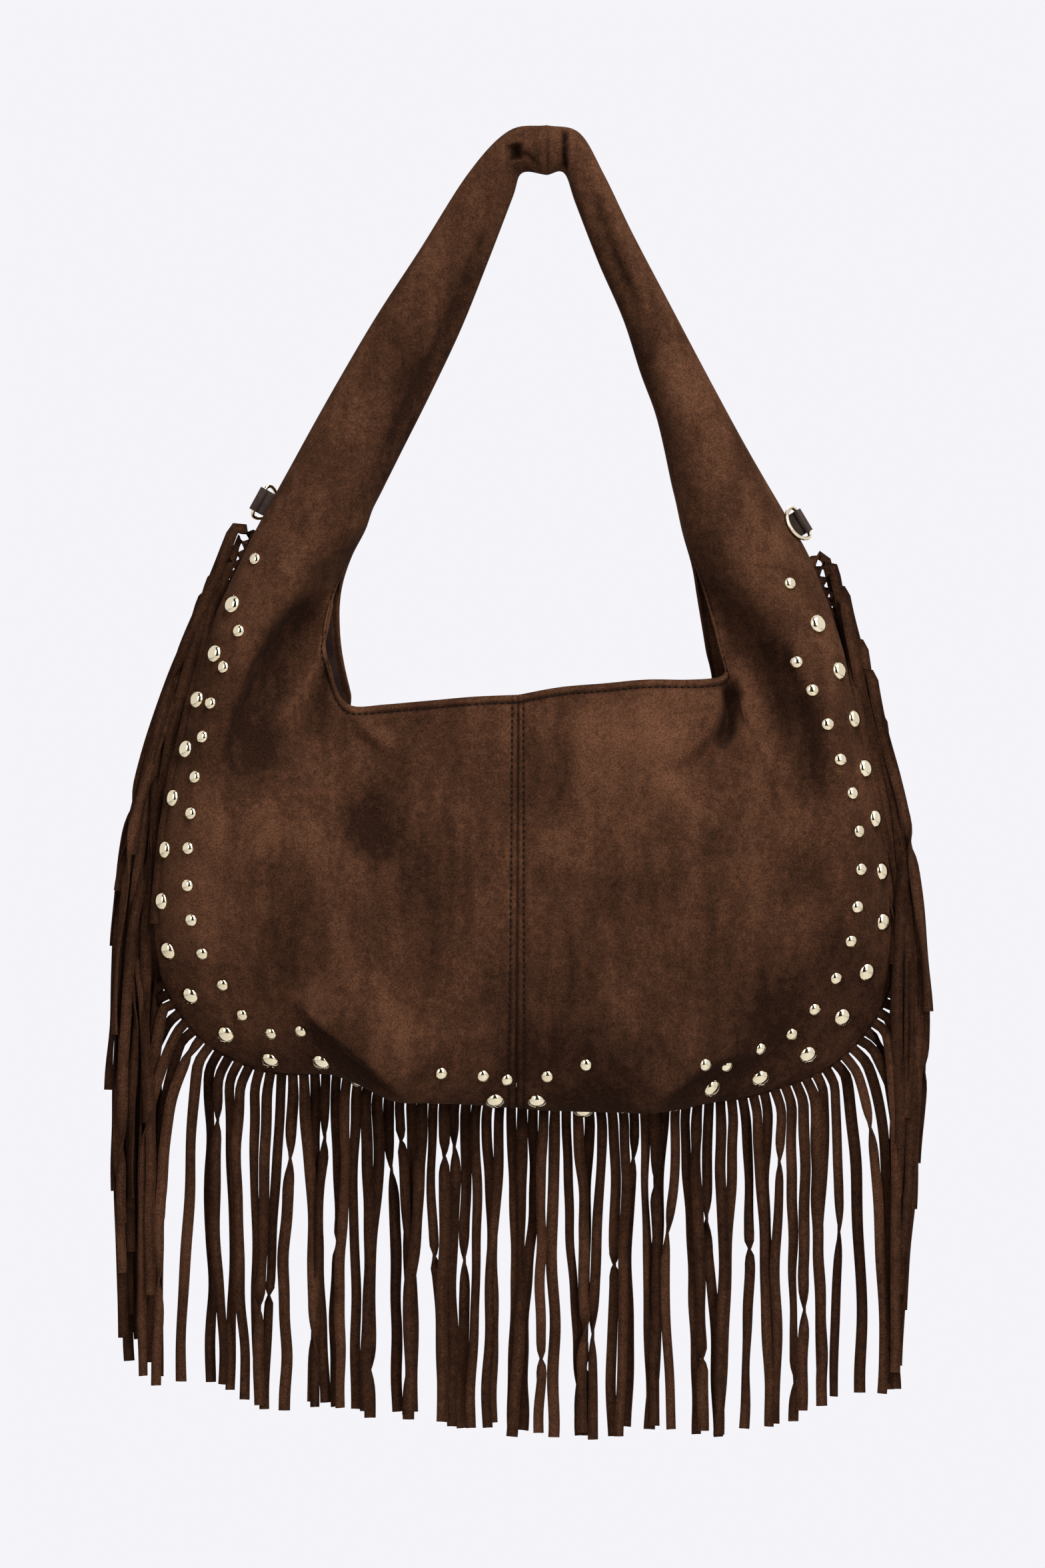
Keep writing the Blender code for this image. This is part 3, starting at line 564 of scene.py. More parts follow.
@dataclass(frozen=True)
class SmoothLeather(TwoTone):
    """Smooth dark leather with a fine pore grain."""

    name: str = "grey_brown_leather"
    dark: Colour = (0.024, 0.0140, 0.0105, 1.0)
    light: Colour = (0.043, 0.0260, 0.0200, 1.0)
    scale: float = 300.0
    detail: float = 4.0
    pore_scale: float = 2400.0

    def _surface(self, graph: Graph, tone: Signal) -> dict[str, Any]:
        """Presses the pores in."""
        inputs = {"Vector": graph.place, "Scale": self.pore_scale}
        pores = graph.node("ShaderNodeTexVoronoi", {"feature": "F1"}, inputs)
        normal = graph.bump(Signal(graph, pores.outputs["Distance"]), 0.00015, 0.35)
        return {"Roughness": 0.46 + 0.16 * tone, "Specular IOR Level": 0.18, "Normal": normal}


@dataclass(frozen=True)
class PaleGold(TwoTone):
    """Polished pale gold plating with faint polishing marks."""

    name: str = "pale_gold_plating"
    dark: Colour = (0.74, 0.64, 0.43, 1.0)
    light: Colour = (0.82, 0.73, 0.53, 1.0)
    scale: float = 30.0
    detail: float = 1.0
    mark_scale: float = 110.0

    def _surface(self, graph: Graph, tone: Signal) -> dict[str, Any]:
        """Adds the polishing marks."""
        marks = graph.spread(graph.noise(self.mark_scale, 1.0), 0.3, 0.7)
        return {"Roughness": 0.07 + 0.02 * marks, "Metallic": 1.0}


@dataclass(frozen=True)
class SewingThread(TwoTone):
    """Sewing thread, twisted, near black: partly the thread's own dark brown and partly painted shade of the
    sunk stitches.
    """

    name: str = "thread_with_painted_stitch_shade"
    dark: Colour = (0.006, 0.0034, 0.0024, 1.0)
    light: Colour = (0.015, 0.0084, 0.0056, 1.0)
    scale: float = 2600.0
    detail: float = 2.0

    def _surface(self, graph: Graph, tone: Signal) -> dict[str, Any]:
        """Twists the thread."""
        return {"Roughness": 0.9, "Specular IOR Level": 0.05, "Normal": graph.bump(tone, 0.0001, 0.5)}


@dataclass(frozen=True)
class Fold:
    """A fold of the hanging suede, along a line seen from the front.

    The line is in millimetres (x, z). The fold stands out by height, or dips where that is negative. It falls
    away over left millimetres on the left of the line's run and over right on the other side.
    """

    line: tuple[tuple[float, float], ...]
    height: float
    left: float
    right: float
    fade: float = 0.25

    def lift(self, places: np.ndarray) -> np.ndarray:
        """Gives how far the fold lifts each place.

        Args:
            places: (x, z) pairs in metres.

        Returns:
            The lift at each of them, in metres.
        """
        line = smooth_rows(np.array(self.line, dtype=float) * MM, 5)
        starts, steps = line[:-1], np.diff(line, axis=0)
        sizes = np.linalg.norm(steps, axis=1)
        runs = run_lengths(line)
        best = np.full(len(places), np.inf)
        signed = np.zeros(len(places))
        share = np.zeros(len(places))
        for index, (start, step, size) in enumerate(zip(starts, steps, sizes)):
            offset = places - start
            along = np.clip(offset @ step / size**2, 0.0, 1.0)
            away = offset - along[:, None] * step
            gap = np.linalg.norm(away, axis=1)
            closer = gap < best
            turn = step[0] * offset[:, 1] - step[1] * offset[:, 0]
            best = np.where(closer, gap, best)
            signed = np.where(closer, np.sign(turn) * gap, signed)
            share = np.where(closer, (runs[index] + along * size) / runs[-1], share)
        width = np.where(signed > 0, self.left, self.right) * MM
        ends = ease(share / self.fade) * ease((1 - share) / self.fade)
        return self.height * MM * bell(signed, width) * ends


LEFT_RIM_VALLEY = (
    (-109, -218), (-122, -232), (-131, -246), (-142, -262), (-150, -283), (-155, -306), (-158, -325),
)
RIGHT_FLAP = ((96, -272), (93, -284), (89, -293), (85, -298), (78, -304), (71, -310), (69, -317))
LEFT_LAP = ((-129, -431), (-116, -441), (-102, -453), (-87, -466), (-76, -476), (-66, -484))
RIGHT_LAP = ((56, -492), (60, -484), (69, -475), (80, -467), (89, -463), (103, -460), (117, -460))
FRONT_FOLDS = (
    Fold(LEFT_RIM_VALLEY, -8.0, 12, 9),
    Fold(((-113, -237), (-117, -255), (-124, -269), (-132, -282), (-139, -298)), 3.0, 4.5, 3.2),
    Fold(((-112, -250), (-114, -265), (-117, -286), (-120, -302)), -3.4, 3.5, 5.0),
    Fold(((-101, -279), (-93, -291), (-82, -300), (-74, -306)), 2.2, 6, 3),
    Fold(((97, -263), (99, -276), (97, -290), (90, -303)), -9.5, 4.6, 3.2, 0.3),
    Fold(RIGHT_FLAP, 3.8, 2.4, 13.0, 0.2),
    Fold(((71, -309), (69, -317), (71, -324), (78, -332), (85, -338), (93, -344)), 2.6, 2.6, 10.0, 0.3),
    Fold(((99, -250), (104, -269), (107, -288), (105, -304), (101, -316)), 4.4, 9, 6, 0.3),
    Fold(((115, -225), (119, -244), (126, -270), (135, -295), (141, -324), (144, -345)), -5.0, 13, 11, 0.3),
    Fold(((-85, -310), (-86, -342), (-83, -374)), -3.4, 16, 16, 0.4),
    Fold(((-43, -325), (-43, -363), (-44, -398), (-43, -437)), 1.2, 2.8, 2.8),
    Fold(((-36, -325), (-35, -363), (-35, -398), (-35, -437)), 1.2, 2.8, 2.8),
    Fold(((-50, -340), (-52, -380), (-50, -420)), 0.9, 3.0, 4.0),
    Fold(LEFT_LAP, 8.0, 24, 1.4, 0.16),
    Fold(RIGHT_LAP, 7.0, 24, 2.4, 0.2),
    Fold(((-11, -486), (3, -480), (18, -474), (27, -471)), 1.8, 10, 3, 0.3),
    Fold(((-14, 16), (-13.4, 11), (-13, 6)), -6.0, 2.2, 2.4, 0.2),
    Fold(((-10, 12), (-8, 10), (-5, 7), (-1, 3)), -1.3, 1.3, 1.6, 0.3),
    Fold(((12.2, 30), (12.4, 20), (12.2, 12), (11.4, -2)), -5.5, 1.5, 1.2, 0.12),
    Fold(((20, 0), (26, -7), (32, -26), (38, -44), (48, -66), (54, -83)), -1.8, 3.5, 4.0, 0.3),
    Fold(((-21, -13), (-34, -43), (-49, -80), (-67, -118), (-83, -150), (-93, -174)), -1.8, 4, 4, 0.3),
)
BACK_FOLDS = (
    Fold(((-105, -250), (-120, -290), (-128, -340), (-126, -390)), -4.0, 10, 12, 0.3),
    Fold(((100, -250), (112, -290), (120, -345), (116, -400)), -4.0, 12, 10, 0.3),
    Fold(((-60, -300), (-64, -350), (-60, -420)), 1.6, 9, 14, 0.4),
    Fold(((40, -300), (48, -360), (44, -430)), 1.4, 12, 8, 0.4),
    Fold(((-30, -470), (0, -462), (40, -468)), 1.8, 6, 14, 0.4),
    Fold(((20, 0), (32, -26), (48, -66), (60, -95)), -1.3, 3.5, 3.5, 0.3),
    Fold(((-21, -13), (-42, -60), (-67, -118), (-88, -160)), -1.3, 4, 4, 0.3),
    Fold(((12.2, 30), (12.0, 12), (11.0, -2)), -2.5, 2.0, 2.0, 0.15),
    Fold(((104, -168), (120, -180), (134, -188), (150, -196)), -2.6, 18, 18, 0.12),
)


# Strokes of tone, partly nap brushed darker or lighter, partly painted shade and highlight (shadow under the
# laps, dark bottom): the fold's height is the change of tone
FRONT_NAP_AND_PAINTED_LIGHT = (
    Fold(((-60, -318), (-62, -360), (-56, -400), (-48, -440)), -0.75, 34, 30, 0.35),
    Fold(((-126, -438), (-112, -450), (-97, -463), (-83, -475), (-72, -484)), -1.0, 2.0, 8, 0.2),
    Fold(((60, -490), (72, -479), (84, -470), (104, -463), (118, -463)), -0.8, 2.0, 8, 0.2),
    Fold(((-142, -280), (-147, -310), (-148, -340)), -0.50, 14, 12, 0.3),
    Fold(((16, -345), (24, -380), (28, -410), (30, -440)), -0.60, 30, 24, 0.35),
    Fold(((-40, -462), (0, -466), (60, -462), (110, -450), (150, -430)), -0.30, 30, 20, 0.15),
    Fold(((118, -190), (140, -215), (150, -250)), -0.30, 16, 16, 0.3),
    Fold(((-88, -325), (-90, -345), (-84, -364)), -0.45, 11, 11, 0.4),
    Fold(((-20, -470), (40, -462), (100, -450), (140, -430)), -0.50, 34, 26, 0.2),
    Fold(((30, -400), (70, -395), (120, -380)), -0.25, 26, 26, 0.3),
    Fold(((8, -286), (45, -284), (82, -282)), 0.80, 16, 34, 0.2),
    Fold(((14, -320), (40, -336), (60, -355)), 0.35, 22, 22, 0.35),
    Fold(((-20, -280), (-60, -286), (-100, -292)), -0.15, 16, 24, 0.3),
    Fold(((-176, -300), (-178, -350), (-172, -400), (-150, -440), (-115, -455)), 0.90, 18, 22, 0.2),
    Fold(((-130, -425), (-118, -440), (-104, -452)), 0.45, 14, 3, 0.3),
    Fold(((-150, -190), (-160, -240), (-166, -290)), 0.35, 16, 12, 0.3),
    Fold(((100, -105), (108, -140), (112, -170)), -0.60, 8, 10, 0.3),
    Fold(((150, -250), (160, -300), (164, -350)), -0.20, 16, 14, 0.3),
    Fold(((60, -90), (88, -140), (100, -165)), 0.35, 9, 8, 0.3),
    Fold(((30, -30), (50, -80), (64, -126)), -0.35, 7, 7, 0.3),
    Fold(((-22, -20), (-48, -80), (-72, -130), (-90, -180)), -0.45, 9, 12, 0.25),
    Fold(((-98, -184), (-108, -204), (-118, -224)), -0.40, 12, 14, 0.3),
)


@dataclass
class HalfShell:
    """One half of the bag as smooth sections that run from the outer seam to the inner edge."""

    side: Side
    stations: tuple[tuple[float, ...], ...]
    tab_level: float
    smooth_steps: int = 16
    tangent_step: float = 0.002
    level_reach: float = 0.020
    rows: np.ndarray = field(init=False)
    lengths: np.ndarray = field(init=False)
    tab_at: float = field(init=False)

    def __post_init__(self) -> None:
        """Smooths the stations and measures the outer edge."""
        rows = np.array(self.stations, dtype=float) * STATION_SCALES
        rows[:, (0, 2)] *= WIDTH_FIT
        self.rows = smooth_rows(rows, self.smooth_steps)
        self.lengths = run_lengths(self.rows[:, :2])
        lowest = int(np.argmin(self.rows[:, 1]))
        self.tab_at = float(np.interp(self.tab_level, self.rows[lowest:, 1], self.lengths[lowest:]))

    @property
    def total(self) -> float:
        """Gives the length of the outer edge."""
        return float(self.lengths[-1])

    @property
    def fringe_end(self) -> float:
        """Gives the length along the outer edge where the fringe ends."""
        return self.tab_at - TAB_TO_FRINGE

    def read(self, lengths: np.ndarray) -> np.ndarray:
        """Reads all station columns at lengths along the outer edge."""
        return along_line(lengths, self.lengths, self.rows)

    def outward(self, lengths: np.ndarray) -> np.ndarray:
        """Gives the (x, z) direction out of the bag at lengths along the outer edge."""
        ahead = self.read(np.minimum(lengths + self.tangent_step, self.total))
        behind = self.read(np.maximum(lengths - self.tangent_step, 0.0))
        delta = (ahead - behind)[..., :2]
        delta[..., 1] *= ease(lengths / self.level_reach)
        delta = delta / np.linalg.norm(delta, axis=-1, keepdims=True)
        return np.stack([delta[..., 1], -delta[..., 0]], axis=-1) * self.side.value

    def seam_half(self, lengths: np.ndarray) -> np.ndarray:
        """Gives half the gap between front and back at the seam."""
        past = (lengths - self.tab_at - TAB_WIDTH) / TAB_WIDTH
        return mix(STRAND_THICKNESS / 2 + SEAT_GAP, SEAT_GAP / 2, ease(past))

    def surface(self, lengths: np.ndarray, shares: np.ndarray, face: Face) -> np.ndarray:
        """Places points of a panel's outer surface.

        Args:
            lengths: one length along the outer edge for each column.
            shares: columns by rows, 0 at the outer edge and 1 at the inner one.
            face: the front or the back.

        Returns:
            The points, columns by rows by 3.
        """
        row = self.read(lengths)[:, None, :]
        openness = ease(row[..., MOUTH] / MOUTH_OPENS_AT)
        outer, inner = row[..., 0:2], row[..., 2:4].copy()
        if face is Face.BACK:
            inner[..., 0] -= self.side.value * row[..., REVEAL]
            inner[..., 1] -= BACK_RIM_DROP * openness
        depth, flat, swell = row[..., DEPTH], row[..., FLATNESS], row[..., SWELL]
        start = self.seam_half(lengths)[:, None] + EDGE_TURN
        rim = mix(SEAT_GAP / 2 + EDGE_TURN, np.maximum(row[..., MOUTH], start), openness)
        out = self.outward(lengths)[:, None, :]
        span = np.linalg.norm(inner - outer, axis=-1, keepdims=True)
        bow = outer - out * span * SECTION_BOW
        arrival = mix(inner, outer, SECTION_ARRIVAL)
        share = shares[..., None]
        rest = 1 - share
        bowed = outer * rest**3 + bow * 3 * share * rest**2 + arrival * 3 * share**2 * rest + inner * share**3
        along = mix(mix(outer, inner, share), bowed, openness[..., None])
        peak = mix(TUBE_SHAPE, mix(*SECTION_PEAK, flat), openness)
        power = mix(TUBE_SHAPE, mix(*SECTION_POWER, flat), openness)
        rise = (1 - (1 - np.clip(shares / peak, 0.0, 1.0)) ** 2) ** power
        left = np.clip((1 - shares) / (1 - peak), 0.0, 1.0)
        round_edge = np.sqrt(np.maximum(0.0, 1 - (1 - left) ** 2))
        soft_edge = np.sin(left * math.pi / 2) ** 2
        falling = rim + (depth - rim) * mix(round_edge, soft_edge, openness)
        y = np.where(shares < peak, start + (depth - start) * rise, falling)
        near = np.minimum(shares / SWELL_REACH, 1.0)
        swelling = swell * np.sqrt(1 - (1 - near) ** 2) * (1 - shares) ** 2
        along = along + out * swelling[..., None]
        return np.stack([along[..., 0], face.value * y, along[..., 1]], axis=-1)

    def seam_at(self, length: float) -> tuple[np.ndarray, np.ndarray]:
        """Gives a place on the seam and the direction out of the bag there, both (x, z)."""
        spot = np.array([length])
        return self.read(spot)[0, :2], self.outward(spot)[0]

    def seam_frame(self, length: float) -> Matrix:
        """Gives the frame of a tab on the seam: X out of the bag, Z up along the edge."""
        seam, outward = self.seam_at(length)
        out = Vector(upright(outward))
        up = Vector((-out.z, 0.0, out.x)) * self.side.value
        turn = Matrix((out, up.cross(out), up)).transposed().to_4x4()
        return Matrix.Translation(upright(seam)) @ turn


@dataclass
class PanelSheet:
    """The fine surface of one suede panel, with its folds pressed into it."""

    shell: HalfShell
    face: Face
    column_step: float = 0.0024
    row_count: int = 106
    probe_count: int = 420
    edge_columns: tuple[float, ...] = (
        0.0, 0.0005, 0.0011, 0.0018, 0.0025, 0.0032, 0.0040, 0.0048, 0.0058, 0.0070, 0.0083, 0.0096, 0.0109,
        0.0122, 0.0136,
    )
    edge_rows: tuple[float, ...] = (0.0, 0.0007, 0.0015, 0.0024, 0.0034, 0.0045, 0.0058, 0.0074)
    topstitch: float = 0.0040
    stitch_dip: float = 0.00045
    hem: float = 0.0034
    hem_dip: float = 0.00055
    end_dips: tuple[tuple[float, float], ...] = ((0.0008, 0.0009), (0.0013, 0.0016))
    soft_waves: tuple[tuple[float, float], ...] = ((24.0, 0.0010), (62.0, 0.0004))
    wave_edge: float = 0.006
    fold_from_seam: float = 0.009
    fold_from_rim: float = 0.003
    drape_depth: float = 0.03
    seam_shift: float = 0.00003
    proud: float = 0.003
    underside_shade: float = 0.7
    low_shade: float = 0.15
    low_from: float = 0.395
    low_reach: float = 0.075
    points: np.ndarray = field(init=False)
    normals: np.ndarray = field(init=False)
    columns: np.ndarray = field(init=False)
    from_seam: np.ndarray = field(init=False)
    from_rim: np.ndarray = field(init=False)
    relief: np.ndarray = field(init=False)

    def __post_init__(self) -> None:
        """Samples the shell and presses the folds, seams and soft waves into it."""
        self.columns = self._column_lengths()
        base = self.shell.surface(self.columns, self._even_shares(), self.face)
        self.relief = self._relief(base)
        self.points = base + grid_normals(base, self.face.value) * self.relief[..., None]
        self.normals = grid_normals(self.points, self.face.value)

    @property
    def openness(self) -> np.ndarray:
        """Gives how far the mouth is open at each column, 0 to 1."""
        return ease(self.shell.read(self.columns)[:, MOUTH] / MOUTH_OPENS_AT)[:, None]

    def _column_lengths(self) -> np.ndarray:
        """Spaces the columns: close beside both end seams, even between them."""
        edge = np.array(self.edge_columns)
        total = self.shell.total
        count = int((total - 2 * edge[-1]) / self.column_step)
        middle = np.linspace(edge[-1], total - edge[-1], count)
        return np.concatenate([edge[:-1], middle, total - edge[-2::-1]])

    def _even_shares(self) -> np.ndarray:
        """Spaces the rows evenly along each section, closer beside both edges."""
        swing = np.linspace(0.0, math.pi, self.probe_count)
        probes = np.broadcast_to((1 - np.cos(swing)) / 2, (len(self.columns), self.probe_count))
        run = run_lengths(self.shell.surface(self.columns, probes, self.face))
        edge = np.array(self.edge_rows)
        shares = []
        distances = []
        for column, total in enumerate(run[:, -1]):
            near = edge * min(1.0, total / (6 * edge[-1]))
            middle = np.linspace(near[-1], total - near[-1], self.row_count - 2 * len(edge) + 2)
            places = np.concatenate([near[:-1], middle, total - near[-2::-1]])
            shares.append(np.interp(places, run[column], probes[column]))
            distances.append(places)
        self.from_seam = np.array(distances)
        self.from_rim = run[:, -1:] - self.from_seam
        return np.array(shares)

    def _relief(self, base: np.ndarray) -> np.ndarray:
        """Gives how far each point stands out from the smooth shell."""
        flat = base[..., (0, 2)].reshape(-1, 2)
        folds = FRONT_FOLDS if self.face is Face.FRONT else BACK_FOLDS
        lift = sum(fold.lift(flat) for fold in folds).reshape(base.shape[:2])
        lift = lift * ease(self.from_seam / self.fold_from_seam) * ease(self.from_rim / self.fold_from_rim)
        edge = ease(self.from_seam / self.wave_edge) * ease(self.from_rim / self.wave_edge)
        spots = [Vector(spot) for spot in base.reshape(-1, 3)]
        waves = np.zeros(len(spots))
        for count, size in self.soft_waves:
            waves += size * np.array([noise.noise(spot * count) for spot in spots])
        drape = ease(self.shell.read(self.columns)[:, DEPTH] / self.drape_depth)[:, None]
        lift = lift + waves.reshape(lift.shape) * edge * mix(0.5, 1.5, drape)
        from_centre = self.columns[:, None]
        ends = (from_centre, self.shell.total - from_centre)
        for away, (depth, width) in zip(ends, self.end_dips):
            lift = lift - depth * bell(away, width) * edge
        lift = lift - self.stitch_dip * bell(from_centre - self.topstitch, 0.0012) * edge
        return lift - self.hem_dip * bell(self.from_rim - self.hem, 0.0011) * self.openness

    def outline_rows(self) -> np.ndarray:
        """Adds the turned edges to the grid of points."""
        points = self.points
        face = self.face.value
        openness = self.openness
        first = points[:, 0].copy()
        first[:, 1] = face * self.shell.seam_half(self.columns)
        inward = points[:, -1] - points[:, -4]
        inward /= np.linalg.norm(inward, axis=1, keepdims=True)
        depthwise = np.zeros_like(inward)
        depthwise[:, 1] = -face
        closed = points[:, -1].copy()
        closed[:, 1] = face * SEAT_GAP / 2
        rounder = points[:, -1] + (inward * 0.85 + depthwise * 0.15) * EDGE_TURN * 0.6
        rounded = points[:, -1] + (inward * 0.7 + depthwise * 0.7) * EDGE_TURN
        middle = mix(mix(points[:, -1], closed, 0.5), rounder, openness)
        last = mix(closed, rounded, openness)
        return np.concatenate([first[:, None], points, middle[:, None], last[:, None]], axis=1)

    def tree(self) -> BVHTree:
        """Builds a search tree of the panel's outer surface."""
        bm = grid_mesh(self.points)
        face_towards(bm, self.face.value)
        tree = BVHTree.FromBMesh(bm)
        bm.free()
        return tree

    def build(self, material: bpy.types.Material) -> bpy.types.Object:
        """Builds the suede panel, turned at its edges and as thick as its suede."""
        grid = self.outline_rows()
        shift = self.shell.side.value * self.seam_shift
        grid[0, :, 0] += shift
        grid[-1, :, 0] += shift
        bm = grid_mesh(grid)
        face_towards(bm, self.face.value)
        obj = add_piece(f"suede_{self.face.word}_{self.shell.side.word}", bm, material)
        self._write_lit(obj)
        thicken(obj, SUEDE, -1.0)
        settle(obj, 70.0)
        return obj

    def _write_lit(self, obj: bpy.types.Object) -> None:
        """Stores on each point painted light and shade from the folds, undersides, bottom, grooves and rim,
        with the front's nap strokes.
        """
        # Painted light on proud folds, painted shade in fold valleys and on faces turned down, and painted
        # shade towards the bottom
        lit = 0.8 * np.clip(self.relief / self.proud, -1.0, 0.3)
        lit = lit + self.underside_shade * np.clip(self.normals[..., 2], -0.9, 0.3)
        lit = lit - self.low_shade * ease((-self.low_from - self.points[..., 2]) / self.low_reach)
        from_centre = self.columns[:, None]
        # Painted shade along the topstitch groove and in the centre seam
        lit = lit - 0.45 * bell(from_centre - self.topstitch, 0.0010) - bell(from_centre, 0.0009)
        # Painted highlight along the rolled rim edge and painted shade in the hem's stitch groove
        hem = 0.4 * bell(self.from_rim - self.hem / 3, 0.0012) - bell(self.from_rim - self.hem, 0.0010)
        lit = lit + hem * self.openness
        if self.face is Face.FRONT:
            # The front's nap strokes, partly painted shade and painted highlight
            flat = self.points[..., (0, 2)].reshape(-1, 2)
            lit = lit + sum(stroke.lift(flat) for stroke in FRONT_NAP_AND_PAINTED_LIGHT).reshape(lit.shape) / MM
        layer = obj.data.attributes.new("lit", "FLOAT", "POINT")
        layer.data.foreach_set("value", np.pad(lit, ((0, 0), (1, 2)), mode="edge").T.ravel())


@dataclass
class LiningPouch:
    """The dark lining: a pouch that follows the panels from the rim and crosses above the bottom seam."""

    sheets: Sequence[PanelSheet]
    follow_rows: int = 46
    drop_rows: int = 12
    fold_gap: float = 0.0022
    follow_from: float = 0.42
    right_facing: float = 0.0180
    left_facing: float = 0.0062
    least_facing: float = 0.0012
    facing_reach: float = 0.12

    def build(self, material: bpy.types.Material) -> bpy.types.Object:
        """Builds the pouch from one patch behind each panel."""
        whole = bmesh.new()
        for sheet in self.sheets:
            merge(whole, grid_mesh(self._patch(sheet)))
        bmesh.ops.remove_doubles(whole, verts=whole.verts, dist=0.0002)
        bmesh.ops.recalc_face_normals(whole, faces=whole.faces)
        foremost = min(whole.faces, key=lambda face: face.calc_center_median().y)
        if foremost.normal.y > 0:
            bmesh.ops.reverse_faces(whole, faces=whole.faces)
        obj = add_piece("lining_pouch", whole, material)
        thicken(obj, LINING, -1.0)
        settle(obj, 60.0)
        return obj

    def _patch(self, sheet: PanelSheet) -> np.ndarray:
        """Gives the points of the lining behind one panel, from the bottom fold up to the rim."""
        shell = sheet.shell
        behind = sheet.points - sheet.normals * (SUEDE + LINING_SLACK)
        behind[0, :, 0] = LINING_CENTRE
        facing = self.right_facing if shell.side is Side.RIGHT else self.left_facing
        shares = np.linspace(0.0, 1.0, self.drop_rows, endpoint=False)[:, None]
        columns = []
        for column in np.flatnonzero(shell.read(sheet.columns)[:, MOUTH] >= LINING_STARTS_AT):
            length, run = sheet.columns[column], sheet.from_seam[column]
            below = mix(self.least_facing, facing, ease(length / self.facing_reach))
            places = np.linspace(run[-1] * self.follow_from, run[-1] - below, self.follow_rows)
            line = along_line(places, run, behind[column])
            seam, out = shell.seam_at(length)
            fold = upright(seam - out * (HEADER_INSIDE + self.fold_gap))
            if column == 0:
                fold[0] = LINING_CENTRE
            columns.append(np.vstack([mix(fold, line[0], shares), line]))
        return np.array(columns)


@dataclass
class StrandFringe:
    """The suede strip in the seam, cut into strands that arch out and hang down."""

    left: HalfShell
    right: HalfShell
    sheets: dict[tuple[Side, Face], PanelSheet]
    steps: int = 44
    arch_reach: float = 0.012
    bottom_arch: float = 0.015
    side_arch: tuple[float, float] = (0.0045, 0.0130)
    open_arch: tuple[float, float] = (0.007, 0.015)
    corner_reach: tuple[float, float] = (0.004, 0.020)
    open_strands: float = 9.0
    side_longer: float = 0.014
    look_ahead: float = 0.040
    flare: float = 0.0045
    golden: float = 0.618034
    open_share: float = 0.30
    first_lane: float = 0.75
    root_turn: float = 0.26
    clearance: float = 0.0016
    lift_reach: int = 3
    lift_rows: float = 6.0
    free_rows: int = 5
    ray_from: float = 0.2
    steepest: float = 0.75
    corner_arch: tuple[float, float] = (0.006, 0.020)
    clump_run: float = 0.45
    lane_run: float = 0.3
    hugging_every: int = 4
    hugging_lane: float = 0.25
    drift: float = 0.0060
    stray: float = 0.0018
    trim: float = 0.0030
    waves: tuple[tuple[float, float], ...] = ((0.0014, 1.2), (0.0007, 2.7), (0.0003, 5.5))
    side_pile: float = 0.0105
    bottom_pile: float = 0.0044
    pile_levels: int = 16
    pile_step: int = 7
    tone_spread: float = 0.55
    edge_dye_and_shade: float = 0.75
    root_shadow: float = 0.6
    root_rows: float = 5.0
    tone_lift: float = 0.35
    lean: float = 0.55
    open_turn: float = 1.1
    flip_share: float = 0.5
    seed: int = 11
    cup: float = 0.00060
    trees: dict[tuple[Side, Face], BVHTree] = field(init=False)
    pulls: list[float] = field(init=False)

    def __post_init__(self) -> None:
        """Prepares the panels' surfaces, which the strands lie over."""
        self.trees = {key: sheet.tree() for key, sheet in self.sheets.items()}
        self.pulls = self._clumps()

    @property
    def count(self) -> int:
        """Gives how many strands the strip is cut into."""
        return int((self.left.fringe_end + self.right.fringe_end) // (STRAND_WIDTH + STRAND_CUT))

    def _clumps(self) -> list[float]:
        """Draws which neighbours cling together, as the pull on each strand along the seam."""
        dice = random.Random(self.seed)
        pulls: list[float] = []
        while len(pulls) < self.count:
            size = dice.choice((1, 2, 3, 3, 4, 5))
            for index in range(size):
                pulls.append(((size - 1) / 2 - index) * STRAND_WIDTH * dice.uniform(0.35, 0.90))
        return pulls

    def build(self, material: bpy.types.Material) -> bpy.types.Object:
        """Builds the strip as one grid, opened between its strands, and gives it thickness."""
        pitch = STRAND_WIDTH + STRAND_CUT
        start = -self.left.fringe_end
        strips = [self._strand(number, start + (number + 0.5) * pitch) for number in range(self.count)]
        grid = np.concatenate(strips, axis=0)
        bm = grid_mesh(grid)
        per_strand = strips[0].shape[0]
        self._shade(bm, grid.shape, per_strand)
        self._cut(bm, grid.shape, per_strand)
        obj = add_piece("suede_fringe", bm, material)
        thicken(obj, STRAND_THICKNESS, 0.0)
        settle(obj, 40.0)
        return obj

    def _shade(self, bm: bmesh.types.BMesh, shape: tuple[int, ...], per_strand: int) -> None:
        """Stores each strand's own tone, darker along its cut edges, partly their dye and partly painted
        shade, and painted shadow at its root.
        """
        layer = bm.verts.layers.float.new("lit")
        dice = random.Random(self.seed)
        tones = [dice.uniform(-self.tone_spread, self.tone_spread) for _ in range(self.count)]
        middle = (per_strand - 1) / 2
        for index, vert in enumerate(bm.verts):
            row, column = divmod(index, shape[0])
            strand, across = divmod(column, per_strand)
            edge = abs(across - middle) / middle
            root = math.exp(-row / self.root_rows)
            # Own tone, less the dyed edges with painted shade and the painted shadow at the root
            vert[layer] = tones[strand] - self.edge_dye_and_shade * edge - self.root_shadow * root + self.tone_lift

    def _cut(self, bm: bmesh.types.BMesh, shape: tuple[int, ...], per_strand: int) -> None:
        """Removes the faces between neighbouring strands below the header."""
        columns = shape[0]
        bm.verts.ensure_lookup_table()
        doomed = []
        for face in bm.faces:
            spots = [divmod(vert.index, columns) for vert in face.verts]
            strands = {column // per_strand for _, column in spots}
            if len(strands) > 1 and max(row for row, _ in spots) > 1:
                doomed.append(face)
        bmesh.ops.delete(bm, geom=doomed, context="FACES_ONLY")
        loose = [edge for edge in bm.edges if not edge.link_faces]
        bmesh.ops.delete(bm, geom=loose, context="EDGES")

